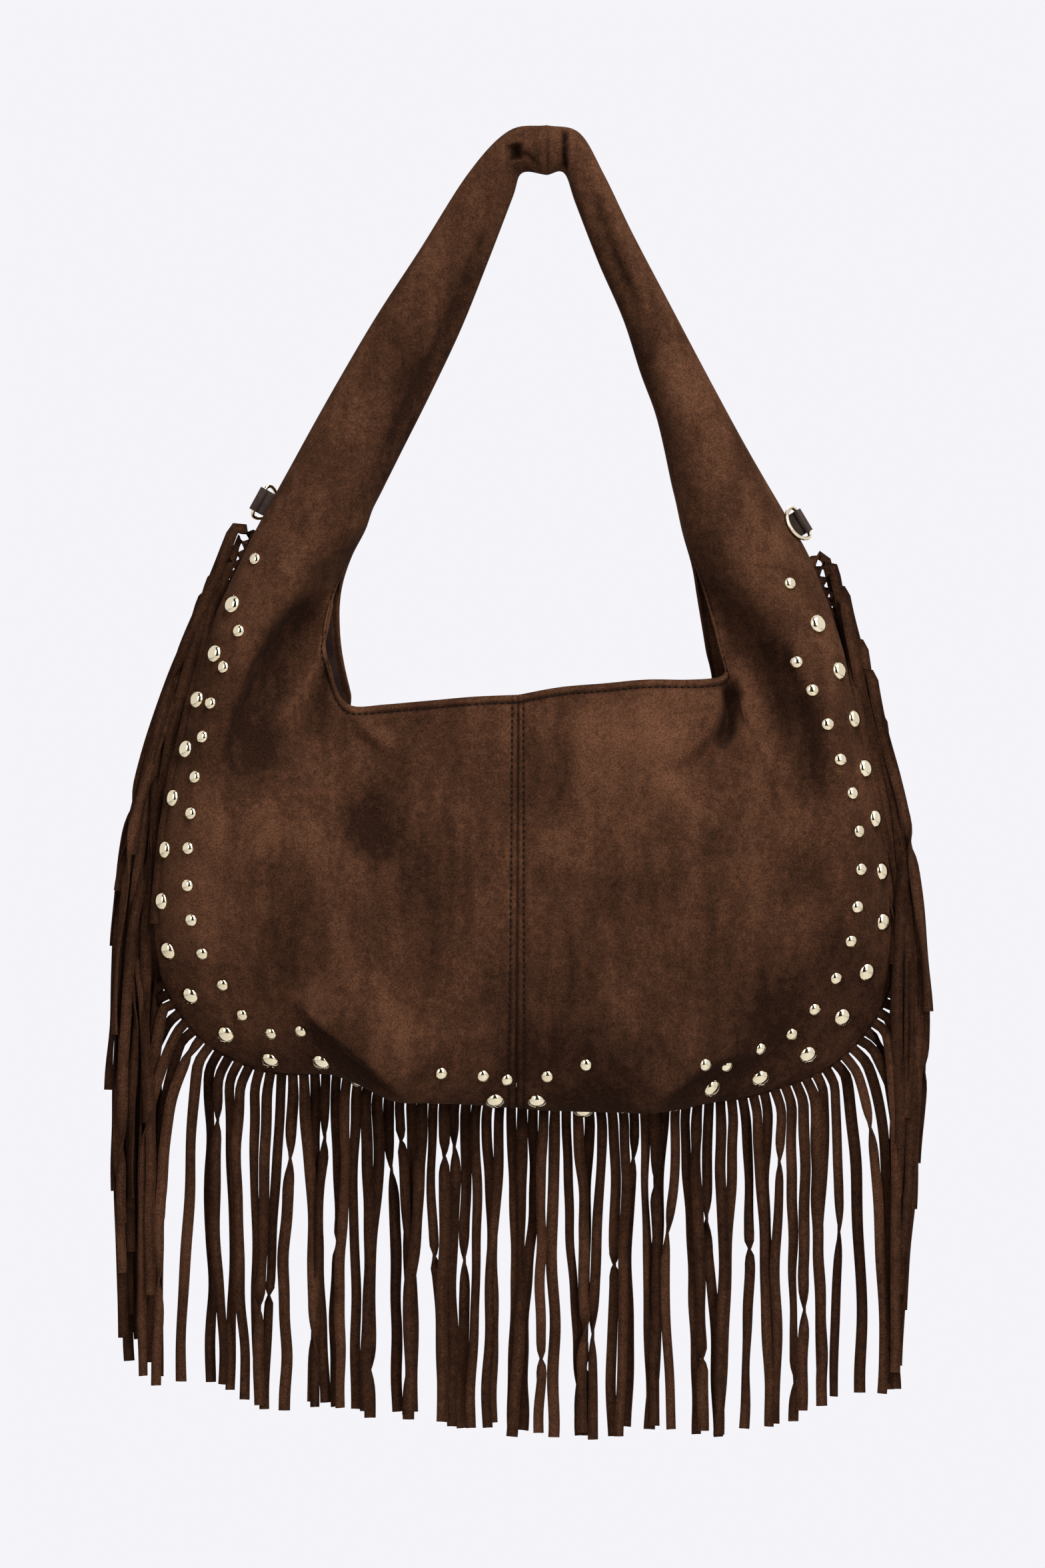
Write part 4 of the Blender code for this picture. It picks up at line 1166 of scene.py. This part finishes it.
    def _strand(self, number: int, place: float) -> np.ndarray:
        """Gives the points of one strand, three across.

        Args:
            number: the strand's number, which seeds its sway.
            place: its signed length from the centre seam.

        Returns:
            Three columns of points, from the header down to the cut end.
        """
        path, sideways = self._path(self.left if place < 0 else self.right, abs(place), number)
        dice = random.Random(self.seed * 1000 + number)
        run = np.linspace(0.0, 1.0, len(path))
        heading = np.gradient(path, axis=0)
        heading /= np.linalg.norm(heading, axis=1, keepdims=True)
        wide = np.stack([-heading[:, 2], np.zeros(len(path)), heading[:, 0]], axis=1)
        wide /= np.linalg.norm(wide, axis=1, keepdims=True)
        depth = np.cross(heading, wide)
        turn = self._turns(dice, run, sideways)
        across = wide * np.cos(turn)[:, None] + depth * np.sin(turn)[:, None]
        proud = np.cross(heading, across)
        half = STRAND_WIDTH / 2 * mix(1.0, dice.uniform(0.95, 1.17), ease(run / 0.08)[:, None])
        cup = self.cup * dice.choice((-1.0, 1.0)) * ease(run / 0.2)[:, None]
        rows = [path - across * half, path + proud * cup, path + across * half]
        flip = 1 if wide[0, 0] > 0 else -1
        strip = []
        for index, row in enumerate(rows):
            spot = place + (index - 1) * STRAND_WIDTH / 2 * flip
            owner = self.left if spot < 0 else self.right
            seam, out = (upright(part) for part in owner.seam_at(abs(spot)))
            strip.append(np.vstack([seam - out * HEADER_INSIDE, seam + out * HEADER_OUTSIDE, row[1:]]))
        return np.array(strip[::flip])

    def _turns(self, dice: random.Random, run: np.ndarray, sideways: float) -> np.ndarray:
        """Gives how far a strand is turned about its own run, with a flip in some of them."""
        lean = dice.uniform(-self.lean, self.lean)
        wobble = dice.uniform(0.1, 0.55)
        phase = dice.uniform(0.0, 2 * math.pi)
        waves = dice.uniform(0.8, 2.4)
        turn = lean * ease(run / 0.16) + wobble * np.sin(run * waves * 2 * math.pi + phase) * ease(run / 0.2)
        if dice.random() < self.flip_share:
            where = dice.uniform(0.06, 0.78)
            reach = dice.uniform(0.09, 0.30)
            turn = turn + dice.choice((-1.0, 1.0)) * math.pi * ease((run - where) / reach)
        turn = turn * mix(1.0, 0.75, sideways) * ease((run - 0.05) / 0.08)
        if sideways > 0.6 and dice.random() < self.open_share:
            turn = turn + bell(run - 0.045, 0.030) * dice.choice((-self.open_turn, self.open_turn))
        return turn

    def _path(self, shell: HalfShell, length: float, number: int) -> tuple[np.ndarray, float]:
        """Follows one strand's middle: out of the seam, over an arch, then down beside the bag.

        Args:
            shell: the half that the strand is sewn to.
            length: its length along the seam from the bottom centre.
            number: the strand's number, which seeds its fall.

        Returns:
            The points of its middle, and how much it leaves the seam sideways, 0 to 1.
        """
        dice = random.Random(self.seed + number)
        drift = dice.uniform(-self.drift, self.drift)
        root, out = shell.seam_at(length)
        sideways = abs(out[0])
        beside = float(ease((sideways - 0.5) / 0.3))
        cut_length = STRAND_LENGTH + self.side_longer * beside + dice.uniform(-self.trim, self.trim)
        level = (number * self.pile_step % self.pile_levels) / (self.pile_levels - 1) * 2 - 1
        depth = level * mix(self.bottom_pile, self.side_pile, sideways)
        here = root + out * HEADER_OUTSIDE
        step = cut_length / self.steps
        lane, arch = self._lane(dice, shell, length, number)
        arch = mix(mix(self.bottom_arch, dice.uniform(*self.corner_arch), sideways), arch, beside)
        skew = dice.uniform(-self.root_turn, self.root_turn) * sideways
        cosine, sine = math.cos(skew), math.sin(skew)
        first = np.array([out[0] * cosine - out[1] * sine, out[0] * sine + out[1] * cosine])
        own_place = root[0] + out[0] * dice.uniform(*self.corner_reach)
        own_place += dice.uniform(-self.stray, self.stray)
        path = [upright(here)]
        travelled = 0.0
        for _ in range(self.steps):
            ahead = here[1] - self.look_ahead
            progress = travelled / cut_length
            fallen = drift * progress + self.pulls[number] * float(ease(progress / self.clump_run))
            spread = mix(min(lane, self.first_lane), lane, float(ease(progress / self.lane_run)))
            target = mix(own_place + fallen, self._lane_x(shell, ahead, spread), beside)
            target += shell.side.value * self.flare * max(lane - 0.4, 0.0) * progress**2 * beside
            slope = float(np.clip((target - here[0]) / self.look_ahead, -self.steepest, self.steepest))
            down = np.array([slope, -1.0]) / math.hypot(slope, 1.0)
            turn = float(ease(travelled / arch))
            heading = mix(first, down, turn)
            heading /= np.linalg.norm(heading)
            here = here + heading * step
            travelled += step
            path.append(upright(here, depth * float(ease(travelled / self.arch_reach))))
        points = np.array(path)
        self._sway(dice, points, sideways)
        if sideways > 0.55:
            self._lie_over(points, shell.side, Face.BACK if level > 0 else Face.FRONT)
        return points, sideways

    def _lane(self, dice: random.Random, shell: HalfShell, length: float, number: int) -> tuple[float, float]:
        """Gives where across the curtain a side strand hangs, and how long its arch is.

        Args:
            dice: the strand's own numbers.
            shell: the half that it is sewn to.
            length: its length along the seam from the bottom centre.
            number: the strand's number.

        Returns:
            The lane, 0 at the bag's edge and 1 on the outside, and the length of the arch.
        """
        from_end = (shell.fringe_end - length) / (STRAND_WIDTH + STRAND_CUT)
        uppermost = 1.0 - float(ease(from_end / self.open_strands))
        lane = number * self.golden % 1.0
        arch = mix(*self.side_arch, dice.random())
        if number % self.hugging_every == 1:
            return lane * mix(1.0, self.hugging_lane, uppermost), mix(arch, self.side_arch[0], uppermost)
        lane = mix(lane, mix(0.5, 1.0, dice.random()), uppermost)
        return lane, mix(arch, mix(*self.open_arch, dice.random()), uppermost)

    def _lane_x(self, shell: HalfShell, level: float, lane: float) -> float:
        """Gives the x of a lane of the side curtain at a height."""
        left = shell.side is Side.LEFT
        outline = np.array(LEFT_CURTAIN if left else RIGHT_CURTAIN)[::-1] * MM
        inner = np.array(LEFT_INNER_EDGE if left else RIGHT_INNER_EDGE)[::-1] * MM
        widest = int(np.argmax(np.abs(shell.rows[:, 0])))
        edge = np.interp(level, shell.rows[widest:, 1], shell.rows[widest:, 0])
        edge -= shell.side.value * np.interp(level, inner[:, 0], inner[:, 1])
        outside = np.interp(level, outline[:, 0], outline[:, 1])
        return float(mix(edge, outside - shell.side.value * STRAND_WIDTH / 2, lane))

    def _sway(self, dice: random.Random, points: np.ndarray, sideways: float) -> None:
        """Adds a strand's own slow waves to its middle line."""
        run = np.linspace(0.0, 1.0, len(points))
        for size, count in self.waves:
            amount = dice.uniform(0.3, 1.0) * size
            waves = dice.uniform(0.6, 1.0) * count
            phase = dice.uniform(0.0, 2 * math.pi)
            wave = (np.sin(run * waves * 2 * math.pi + phase) - math.sin(phase)) * ease(run / 0.25)
            points[:, 0] += amount * wave * mix(1.0, 0.7, sideways)
            points[:, 1] += 0.6 * amount * np.cos(run * waves * 4.4 + phase) * ease(run / 0.3)

    def _lie_over(self, points: np.ndarray, side: Side, face: Face) -> None:
        """Lifts a strand onto the panel where it hangs in front of it or behind it."""
        sign = face.value
        tree = self.trees[side, face]
        needed = np.full(len(points), -1.0)
        for index, point in enumerate(points):
            start = Vector((point[0], sign * self.ray_from, point[2]))
            hit, _, _, _ = tree.ray_cast(start, Vector((0.0, -sign, 0.0)))
            if hit is not None and index > self.free_rows:
                needed[index] = hit.y * sign + self.clearance
        needed = neighbours(needed, self.lift_reach).max(axis=0)
        lifted = np.where(needed > 0, np.maximum(points[:, 1] * sign, needed), points[:, 1] * sign)
        lifted = neighbours(lifted, self.lift_reach).mean(axis=0)
        share = ease((np.arange(len(points)) - 1) / self.lift_rows)
        points[:, 1] = mix(points[:, 1], sign * lifted, share)


@dataclass
class StitchRow:
    """A row of sewn stitches laid along a line of a panel."""

    length: float = 0.0022
    pitch: float = 0.0034
    thread: float = 0.00105
    sunk: float = 0.00010

    def add(self, bm: bmesh.types.BMesh, line: np.ndarray, normals: np.ndarray) -> int:
        """Sews along a line.

        Args:
            bm: the bmesh that takes the stitches.
            line: points of the line.
            normals: the panel's normal at each of them.

        Returns:
            How many stitches were sewn.
        """
        run = run_lengths(line)
        count = int(run[-1] / self.pitch)
        size = Matrix.Diagonal((self.thread * 0.62, self.thread * 0.55, self.length / 2, 1.0))
        for number in range(count):
            middle = (number + 0.5) * self.pitch
            spots = along_line([middle - self.length / 2, middle, middle + self.length / 2], run, line)
            along = Vector(spots[2] - spots[0]).normalized()
            away = Vector(along_line(middle, run, normals))
            away = (away - along * away.dot(along)).normalized()
            turn = Matrix((away.cross(along), away, along)).transposed().to_4x4()
            place = Matrix.Translation(Vector(spots[1]) - away * self.sunk)
            matrix = place @ turn @ size
            bmesh.ops.create_uvsphere(bm, u_segments=6, v_segments=5, radius=1.0, matrix=matrix)
        return count


@dataclass
class Stitching:
    """All topstitching that shows: beside the centre seam and along the mouth's hem."""

    sheets: Sequence[PanelSheet]
    row: StitchRow = field(default_factory=StitchRow)

    def build(self, material: bpy.types.Material) -> bpy.types.Object:
        """Sews every row into one piece."""
        bm = bmesh.new()
        total = 0
        for sheet in self.sheets:
            total += self._seam_row(bm, sheet)
            total += self._hem_row(bm, sheet)
        LOG.info("stitches: %d", total)
        obj = add_piece("topstitching", bm, material)
        obj.data.shade_smooth()
        return obj

    def _seam_row(self, bm: bmesh.types.BMesh, sheet: PanelSheet) -> int:
        """Sews the row beside the centre seam."""
        index = int(np.argmin(np.abs(sheet.columns - sheet.topstitch)))
        keep = (sheet.from_seam[index] > 0.004) & (sheet.from_rim[index] > sheet.hem)
        return self.row.add(bm, sheet.points[index][keep], sheet.normals[index][keep])

    def _hem_row(self, bm: bmesh.types.BMesh, sheet: PanelSheet) -> int:
        """Sews the row along the mouth's hem."""
        opened = np.flatnonzero(sheet.shell.read(sheet.columns)[:, MOUTH] >= MOUTH_OPENS_AT * 0.6)
        line, normals = [], []
        for column in opened:
            run = sheet.from_seam[column]
            place = run[-1] - sheet.hem
            line.append(along_line(place, run, sheet.points[column]))
            normals.append(along_line(place, run, sheet.normals[column]))
        return self.row.add(bm, np.array(line), np.array(normals))


@dataclass(frozen=True)
class StudShape:
    """The dome of one stud, set on its flat back."""

    diameter: float
    rise: float
    root: float = 0.0006
    rings: int = 12
    sides: int = 36

    def mesh(self) -> bmesh.types.BMesh:
        """Spins the dome's profile into a closed stud."""
        bm = bmesh.new()
        radius = self.diameter / 2
        profile = []
        for step in range(self.rings + 1):
            angle = math.pi / 2 * step / self.rings
            profile.append((radius * math.sin(angle) ** 0.92, self.rise * math.cos(angle)))
        profile += [(radius, -self.root), (0.0, -self.root)]
        verts = [bm.verts.new((x, 0.0, z)) for x, z in profile]
        edges = [bm.edges.new(pair) for pair in zip(verts, verts[1:])]
        spun = {"cent": (0, 0, 0), "axis": (0, 0, 1), "angle": 2 * math.pi, "steps": self.sides}
        bmesh.ops.spin(bm, geom=verts + edges, use_merge=True, **spun)
        bmesh.ops.remove_doubles(bm, verts=bm.verts, dist=0.00001)
        bmesh.ops.recalc_face_normals(bm, faces=bm.faces)
        return bm


@dataclass
class StudRows:
    """The two rows of domed studs on one half of the front."""

    sheet: PanelSheet
    large: StudShape = StudShape(0.0103, 0.0036)
    small: StudShape = StudShape(0.0070, 0.0026)
    large_count: int = 16
    seated: float = 0.0002

    def build_large(self, material: bpy.types.Material) -> dict[str, bpy.types.Object]:
        """Sets a fine dome where each large stud's solid is, by the name of that solid."""
        tree = self.sheet.tree()
        pieces = {}
        for number in range(1, self.large_count + 1):
            node = f"stud_{self.sheet.shell.side.word}_{number:02d}"
            low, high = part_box(node)
            bm = self.large.mesh()
            self._seat(bm, tree, (Vector(low) + Vector(high)) / 2)
            pieces[node] = add_piece(f"gold_{node}", bm, material)
            settle(pieces[node], 60.0)
        return pieces

    def build_small(
        self, material: bpy.types.Material, places: Sequence[tuple[float, float]]
    ) -> bpy.types.Object:
        """Sets the inner row of small studs and the small one on top of the outer row.

        Args:
            material: the plating.
            places: the length along the seam and the inset of each stud, in millimetres.

        Returns:
            All of them as one piece.
        """
        tree = self.sheet.tree()
        whole = bmesh.new()
        for length, inset in places:
            bm = self.small.mesh()
            self._seat(bm, tree, Vector(self._on_sheet(length * MM, inset * MM)))
            merge(whole, bm)
        obj = add_piece(f"small_studs_{self.sheet.shell.side.word}", whole, material)
        settle(obj, 60.0)
        return obj

    def _on_sheet(self, length: float, inset: float) -> np.ndarray:
        """Gives the sheet's point at a length along the seam and a distance in from it."""
        column = int(np.argmin(np.abs(self.sheet.columns - length)))
        return along_line(inset, self.sheet.from_seam[column], self.sheet.points[column])

    def _seat(self, bm: bmesh.types.BMesh, tree: BVHTree, centre: Vector) -> None:
        """Moves a stud from the origin onto the nearest suede, standing on it squarely."""
        spot, normal, _, _ = tree.find_nearest(centre)
        turn = normal.to_track_quat("Z", "Y").to_matrix().to_4x4()
        lift = Matrix.Translation(spot - normal * self.seated)
        bmesh.ops.transform(bm, matrix=lift @ turn, verts=bm.verts)


@dataclass
class RingFitting:
    """The leather tab in the seam and the wire D-ring that swings in it."""

    shell: HalfShell
    folded_to: Face
    wire: float = 0.0021
    width: float = 0.0205
    reach: float = 0.0170
    corner: float = 0.0034
    leather: float = 0.0011
    tail: float = 0.0055
    bore_gap: float = 0.0004
    neck_open: float = 1.6
    rest_degrees: float = 122.0
    corner_steps: int = 8
    arc_steps: int = 22
    loop_steps: int = 28
    edge_round: float = 0.00022
    tail_gap: float = 0.00005

    def build_ring(self, material: bpy.types.Material) -> bpy.types.Object:
        """Bends the wire along the D and places it in the tab."""
        curve = bpy.data.curves.new(f"gold_ring_{self.shell.side.word}", "CURVE")
        curve.dimensions = "3D"
        curve.bevel_depth = self.wire / 2
        curve.bevel_resolution = 5
        curve.resolution_u = 1
        place = self._ring_place()
        self._draw(curve, [place @ Vector((x, 0.0, z)) for x, z in self._ring_line()])
        return self._made(curve, material, 80.0)

    def build_tab(self, material: bpy.types.Material) -> bpy.types.Object:
        """Folds the leather strip round the ring's bar, with its ends in the seam."""
        bore = self.wire / 2 + self.bore_gap
        outside = bore + self.leather - self.edge_round
        tail = STRAND_THICKNESS / 2 - self.tail_gap
        opening = math.pi - math.asin(tail / outside) * self.neck_open
        shares = [step / self.loop_steps for step in range(self.loop_steps + 1)]
        outline = [(-self.tail, -tail, 0.0), (-self.tail, tail, 0.0), (HEADER_OUTSIDE / 2, tail, 0.0)]
        outline += self._round_bar(outside, [mix(opening, -opening, share) for share in shares])
        outline.append((HEADER_OUTSIDE / 2, -tail, 0.0))
        curve = bpy.data.curves.new(f"leather_tab_{self.shell.side.word}", "CURVE")
        curve.dimensions = "2D"
        curve.fill_mode = "BOTH"
        curve.extrude = TAB_WIDTH / 2 - self.edge_round
        curve.bevel_depth = self.edge_round * 0.9
        curve.bevel_resolution = 2
        self._draw(curve, outline)
        self._draw(curve, self._round_bar(bore, [2 * math.pi * share for share in shares[:-1]]))
        obj = self._made(curve, material, 50.0)
        obj.data.transform(self.shell.seam_frame(self.shell.tab_at))
        return obj

    def _round_bar(self, radius: float, angles: Sequence[float]) -> list[tuple[float, float, float]]:
        """Gives points at angles round the ring's bar."""
        return [(TAB_STAND + radius * math.cos(angle), radius * math.sin(angle), 0.0) for angle in angles]

    def _draw(self, curve: bpy.types.Curve, line: Sequence[Any]) -> None:
        """Adds a closed line of points to a curve."""
        spline = curve.splines.new("POLY")
        spline.points.add(len(line) - 1)
        for slot, point in zip(spline.points, line):
            slot.co = (*point, 1.0)
        spline.use_cyclic_u = True

    def _made(self, curve: bpy.types.Curve, material: bpy.types.Material, sharp: float) -> bpy.types.Object:
        """Turns a curve into a mesh piece."""
        name = curve.name
        bent = link(name, curve)
        mesh = final_mesh(bent)
        bpy.data.objects.remove(bent, do_unlink=True)
        bpy.data.curves.remove(curve)
        bm = bmesh.new()
        bm.from_mesh(mesh)
        bpy.data.meshes.remove(mesh)
        bmesh.ops.remove_doubles(bm, verts=bm.verts, dist=0.000005)
        bmesh.ops.recalc_face_normals(bm, faces=bm.faces)
        obj = add_piece(name, bm, material)
        settle(obj, sharp)
        return obj

    def _ring_place(self) -> Matrix:
        """Gives the ring's place at rest, folded in against the bag."""
        place = self.shell.seam_frame(self.shell.tab_at)
        towards = self.folded_to.value * place.col[1].y
        turn = math.radians(self.rest_degrees) * (1 if towards > 0 else -1)
        return place @ Matrix.Translation((TAB_STAND, 0.0, 0.0)) @ Matrix.Rotation(turn, 4, "Z")

    def _ring_line(self) -> list[tuple[float, float]]:
        """Draws the D: a straight bar, round corners and a wide arc."""
        bar = self.width / 2 - self.wire / 2
        reach = self.reach - self.wire
        points = []
        for step in range(self.corner_steps + 1):
            angle = math.pi / 2 * step / self.corner_steps
            x = self.corner - self.corner * math.cos(angle)
            z = bar - self.corner + self.corner * math.sin(angle)
            points.append((x, z))
        for step in range(1, self.arc_steps):
            angle = math.pi / 2 * step / self.arc_steps
            x = self.corner + (reach - self.corner) * math.sin(angle)
            points.append((x, bar * math.cos(angle)))
        points.append((reach, 0.0))
        return points + [(x, -z) for x, z in points[-2::-1]]


@dataclass(frozen=True)
class SoftLamp:
    """A soft square lamp that looks at the bag."""

    name: str
    place: tuple[float, float, float]
    size: tuple[float, float]
    watts: float
    aim: tuple[float, float, float] = (0.0, 0.0, -0.30)

    def hang(self) -> None:
        """Adds the lamp to the scene."""
        data = bpy.data.lights.new(self.name, "AREA")
        data.shape = "RECTANGLE"
        data.size, data.size_y = self.size
        data.energy = self.watts
        lamp = link(self.name, data)
        lamp.location = self.place
        lamp.visible_camera = False
        lamp.rotation_euler = (Vector(self.aim) - Vector(self.place)).to_track_quat("-Z", "Y").to_euler()


@dataclass
class PhotoStudio:
    """The pale studio round the hanging bag: camera, lamps, floor and background."""

    background: Colour = (0.913, 0.905, 0.947, 1.0)
    ambient: float = 0.15
    floor_level: float = -1.15
    floor_radius: float = 3.0
    dark_colour: Colour = (0.035, 0.030, 0.028, 1.0)
    dark_half_width: float = 0.42
    dark_edge: float = 9.0
    dark_front: float = 4.0
    camera_place: tuple[float, float, float] = (-0.0098, -3.2, -0.3199)
    lens: float = 139.9
    lamps: tuple[SoftLamp, ...] = (
        SoftLamp("right_strip", (1.35, -2.5, 1.15), (0.9, 2.4), 56.0),
        SoftLamp("left_strip", (-1.45, -2.6, 0.95), (0.9, 2.4), 20.0),
        SoftLamp("overhead", (0.60, -0.8, 1.6), (1.2, 0.8), 40.0),
        SoftLamp("back", (0.2, 1.8, 1.3), (1.4, 0.8), 30.0),
    )

    def set_camera(self) -> None:
        """Places the camera at the photograph's viewing angle."""
        data = bpy.data.cameras.new("photo_camera")
        data.lens = self.lens
        data.sensor_width = 36.0
        camera = link("photo_camera", data)
        camera.location = self.camera_place
        camera.rotation_euler = (math.pi / 2, 0.0, 0.0)
        bpy.context.scene.camera = camera

    def build(self) -> None:
        """Adds the floor, the background and the lamps."""
        self._floor()
        self._world()
        for lamp in self.lamps:
            lamp.hang()
        bpy.context.scene.view_settings.view_transform = "Standard"

    def _floor(self) -> None:
        """Lays the pale floor below the hanging bag."""
        bm = bmesh.new()
        bmesh.ops.create_circle(bm, cap_ends=True, segments=96, radius=self.floor_radius)
        bmesh.ops.translate(bm, vec=(0.0, 0.0, self.floor_level), verts=bm.verts)
        values = {"Base Color": (0.86, 0.855, 0.88, 1.0), "Roughness": 0.9}
        material = Graph(bpy.data.materials.new("pale_floor")).finish(values)
        add_piece("floor", bm, material)

    def _world(self) -> None:
        """Shows the pale background to the camera, and plain soft light to the rest.

        Polished metal shows that background too, with the dark end of the studio on the bag's front side.
        """
        world = bpy.data.worlds.new("studio")
        bpy.context.scene.world = world
        graph = Graph(world)
        rays = graph.node("ShaderNodeLightPath", {}, {}).outputs
        glossy = Signal(graph, rays["Is Glossy Ray"])
        shown = Signal(graph, rays["Is Camera Ray"]).at_least(glossy).at_least(rays["Is Transmission Ray"])
        view = graph.node("ShaderNodeSeparateXYZ", {}, {0: graph.coordinates["Generated"]}).outputs
        sideways = (self.dark_half_width - abs(Signal(graph, view["X"]))) * self.dark_edge
        frontwards = Signal(graph, view["Y"]) * -self.dark_front
        dark = sideways.clamp() * frontwards.clamp() * glossy
        colour = graph.blend(self.background, self.dark_colour, dark)
        seen = graph.node("ShaderNodeBackground", {}, {"Color": colour})
        plain = {"Color": (1.0, 1.0, 1.0, 1.0), "Strength": self.ambient}
        plain = graph.node("ShaderNodeBackground", {}, plain)
        mixer = graph.node("ShaderNodeMixShader", {}, {0: shown, 1: plain.outputs[0], 2: seen.outputs[0]})
        graph.node("ShaderNodeOutputWorld", {}, {"Surface": mixer.outputs[0]})


@dataclass(frozen=True)
class Cut:
    """A piece of cloth before it was sewn: its flat width and length, and its area."""

    flat: tuple[float, float]
    area: float

    def declare(self, piece: bpy.types.Object) -> None:
        """Takes a piece that is a sheet of this size hanging in the bag, and does nothing with it."""


@dataclass
class FringedBag:
    """The whole bag, piece by piece."""

    panel_cut: Cut = Cut((0.270, 0.560), 0.0675)
    lining_cut: Cut = Cut((0.420, 0.400), 0.161)
    fringe_cut: Cut = Cut((0.907, 0.186), 0.152)

    body_suede: Suede = Suede(
        "brown_suede_nap",
        (0.020, 0.0086, 0.0048, 1.0),
        (0.058, 0.0247, 0.0128, 1.0),
        (0.118, 0.0515, 0.0272, 1.0),
    )
    fringe_suede: Suede = Suede(
        "fringe_suede_nap",
        (0.016, 0.0068, 0.0038, 1.0),
        (0.043, 0.0183, 0.0096, 1.0),
        (0.084, 0.0362, 0.0190, 1.0),
    )

    def build(self) -> None:
        """Builds every piece and says what it rides on."""
        suede = self.body_suede.material()
        gold = PaleGold().material()
        halves = {
            Side.LEFT: HalfShell(Side.LEFT, LEFT_STATIONS, LEFT_TAB_LEVEL),
            Side.RIGHT: HalfShell(Side.RIGHT, RIGHT_STATIONS, RIGHT_TAB_LEVEL),
        }
        sheets = {}
        for side, shell in halves.items():
            for face in Face:
                sheets[side, face] = PanelSheet(shell, face)
                node = f"{face.word}_panel_{side.word}"
                panel = sheets[side, face].build(suede)
                self._settle_piece(panel, node)
                self.panel_cut.declare(panel)
        every_sheet = list(sheets.values())
        lining = LiningPouch(every_sheet).build(LiningCloth().material())
        self._settle_piece(lining, "lining")
        self.lining_cut.declare(lining)
        strands = StrandFringe(halves[Side.LEFT], halves[Side.RIGHT], sheets)
        fringe = strands.build(self.fringe_suede.material())
        self._settle_piece(fringe, "fringe")
        self.fringe_cut.declare(fringe)
        stitching = Stitching(every_sheet).build(SewingThread().material())
        self._settle_piece(stitching, None)
        rows = ((Side.LEFT, LEFT_SMALL_STUDS, Face.BACK), (Side.RIGHT, RIGHT_SMALL_STUDS, Face.FRONT))
        leather = SmoothLeather().material()
        for side, places, folded_to in rows:
            studs = StudRows(sheets[side, Face.FRONT])
            for node, piece in studs.build_large(gold).items():
                self._settle_piece(piece, node)
            self._settle_piece(studs.build_small(gold, places), None)
            fitting = RingFitting(halves[side], folded_to)
            self._settle_piece(fitting.build_tab(leather), f"ring_tab_{side.word}")
            ring = fitting.build_ring(gold)
            self._settle_piece(ring, f"ring_{side.word}", f"{side.word}_ring")

    def _settle_piece(
        self, piece: bpy.types.Object, node: str | None, body: str = ROOT_BODY
    ) -> None:
        """Hangs a piece on the body it rides on, hides the solid it stands for, and reports it."""
        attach(piece, body)
        if node:
            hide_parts(node)
        LOG.info("piece %s on %s: %d faces", piece.name, body, len(piece.data.polygons))


def main() -> None:
    """Builds the studio and the bag."""
    logging.basicConfig(level=logging.INFO, format="%(message)s")
    studio = PhotoStudio()
    studio.set_camera()
    FringedBag().build()
    studio.build()


if __name__ == "__main__":
    main()
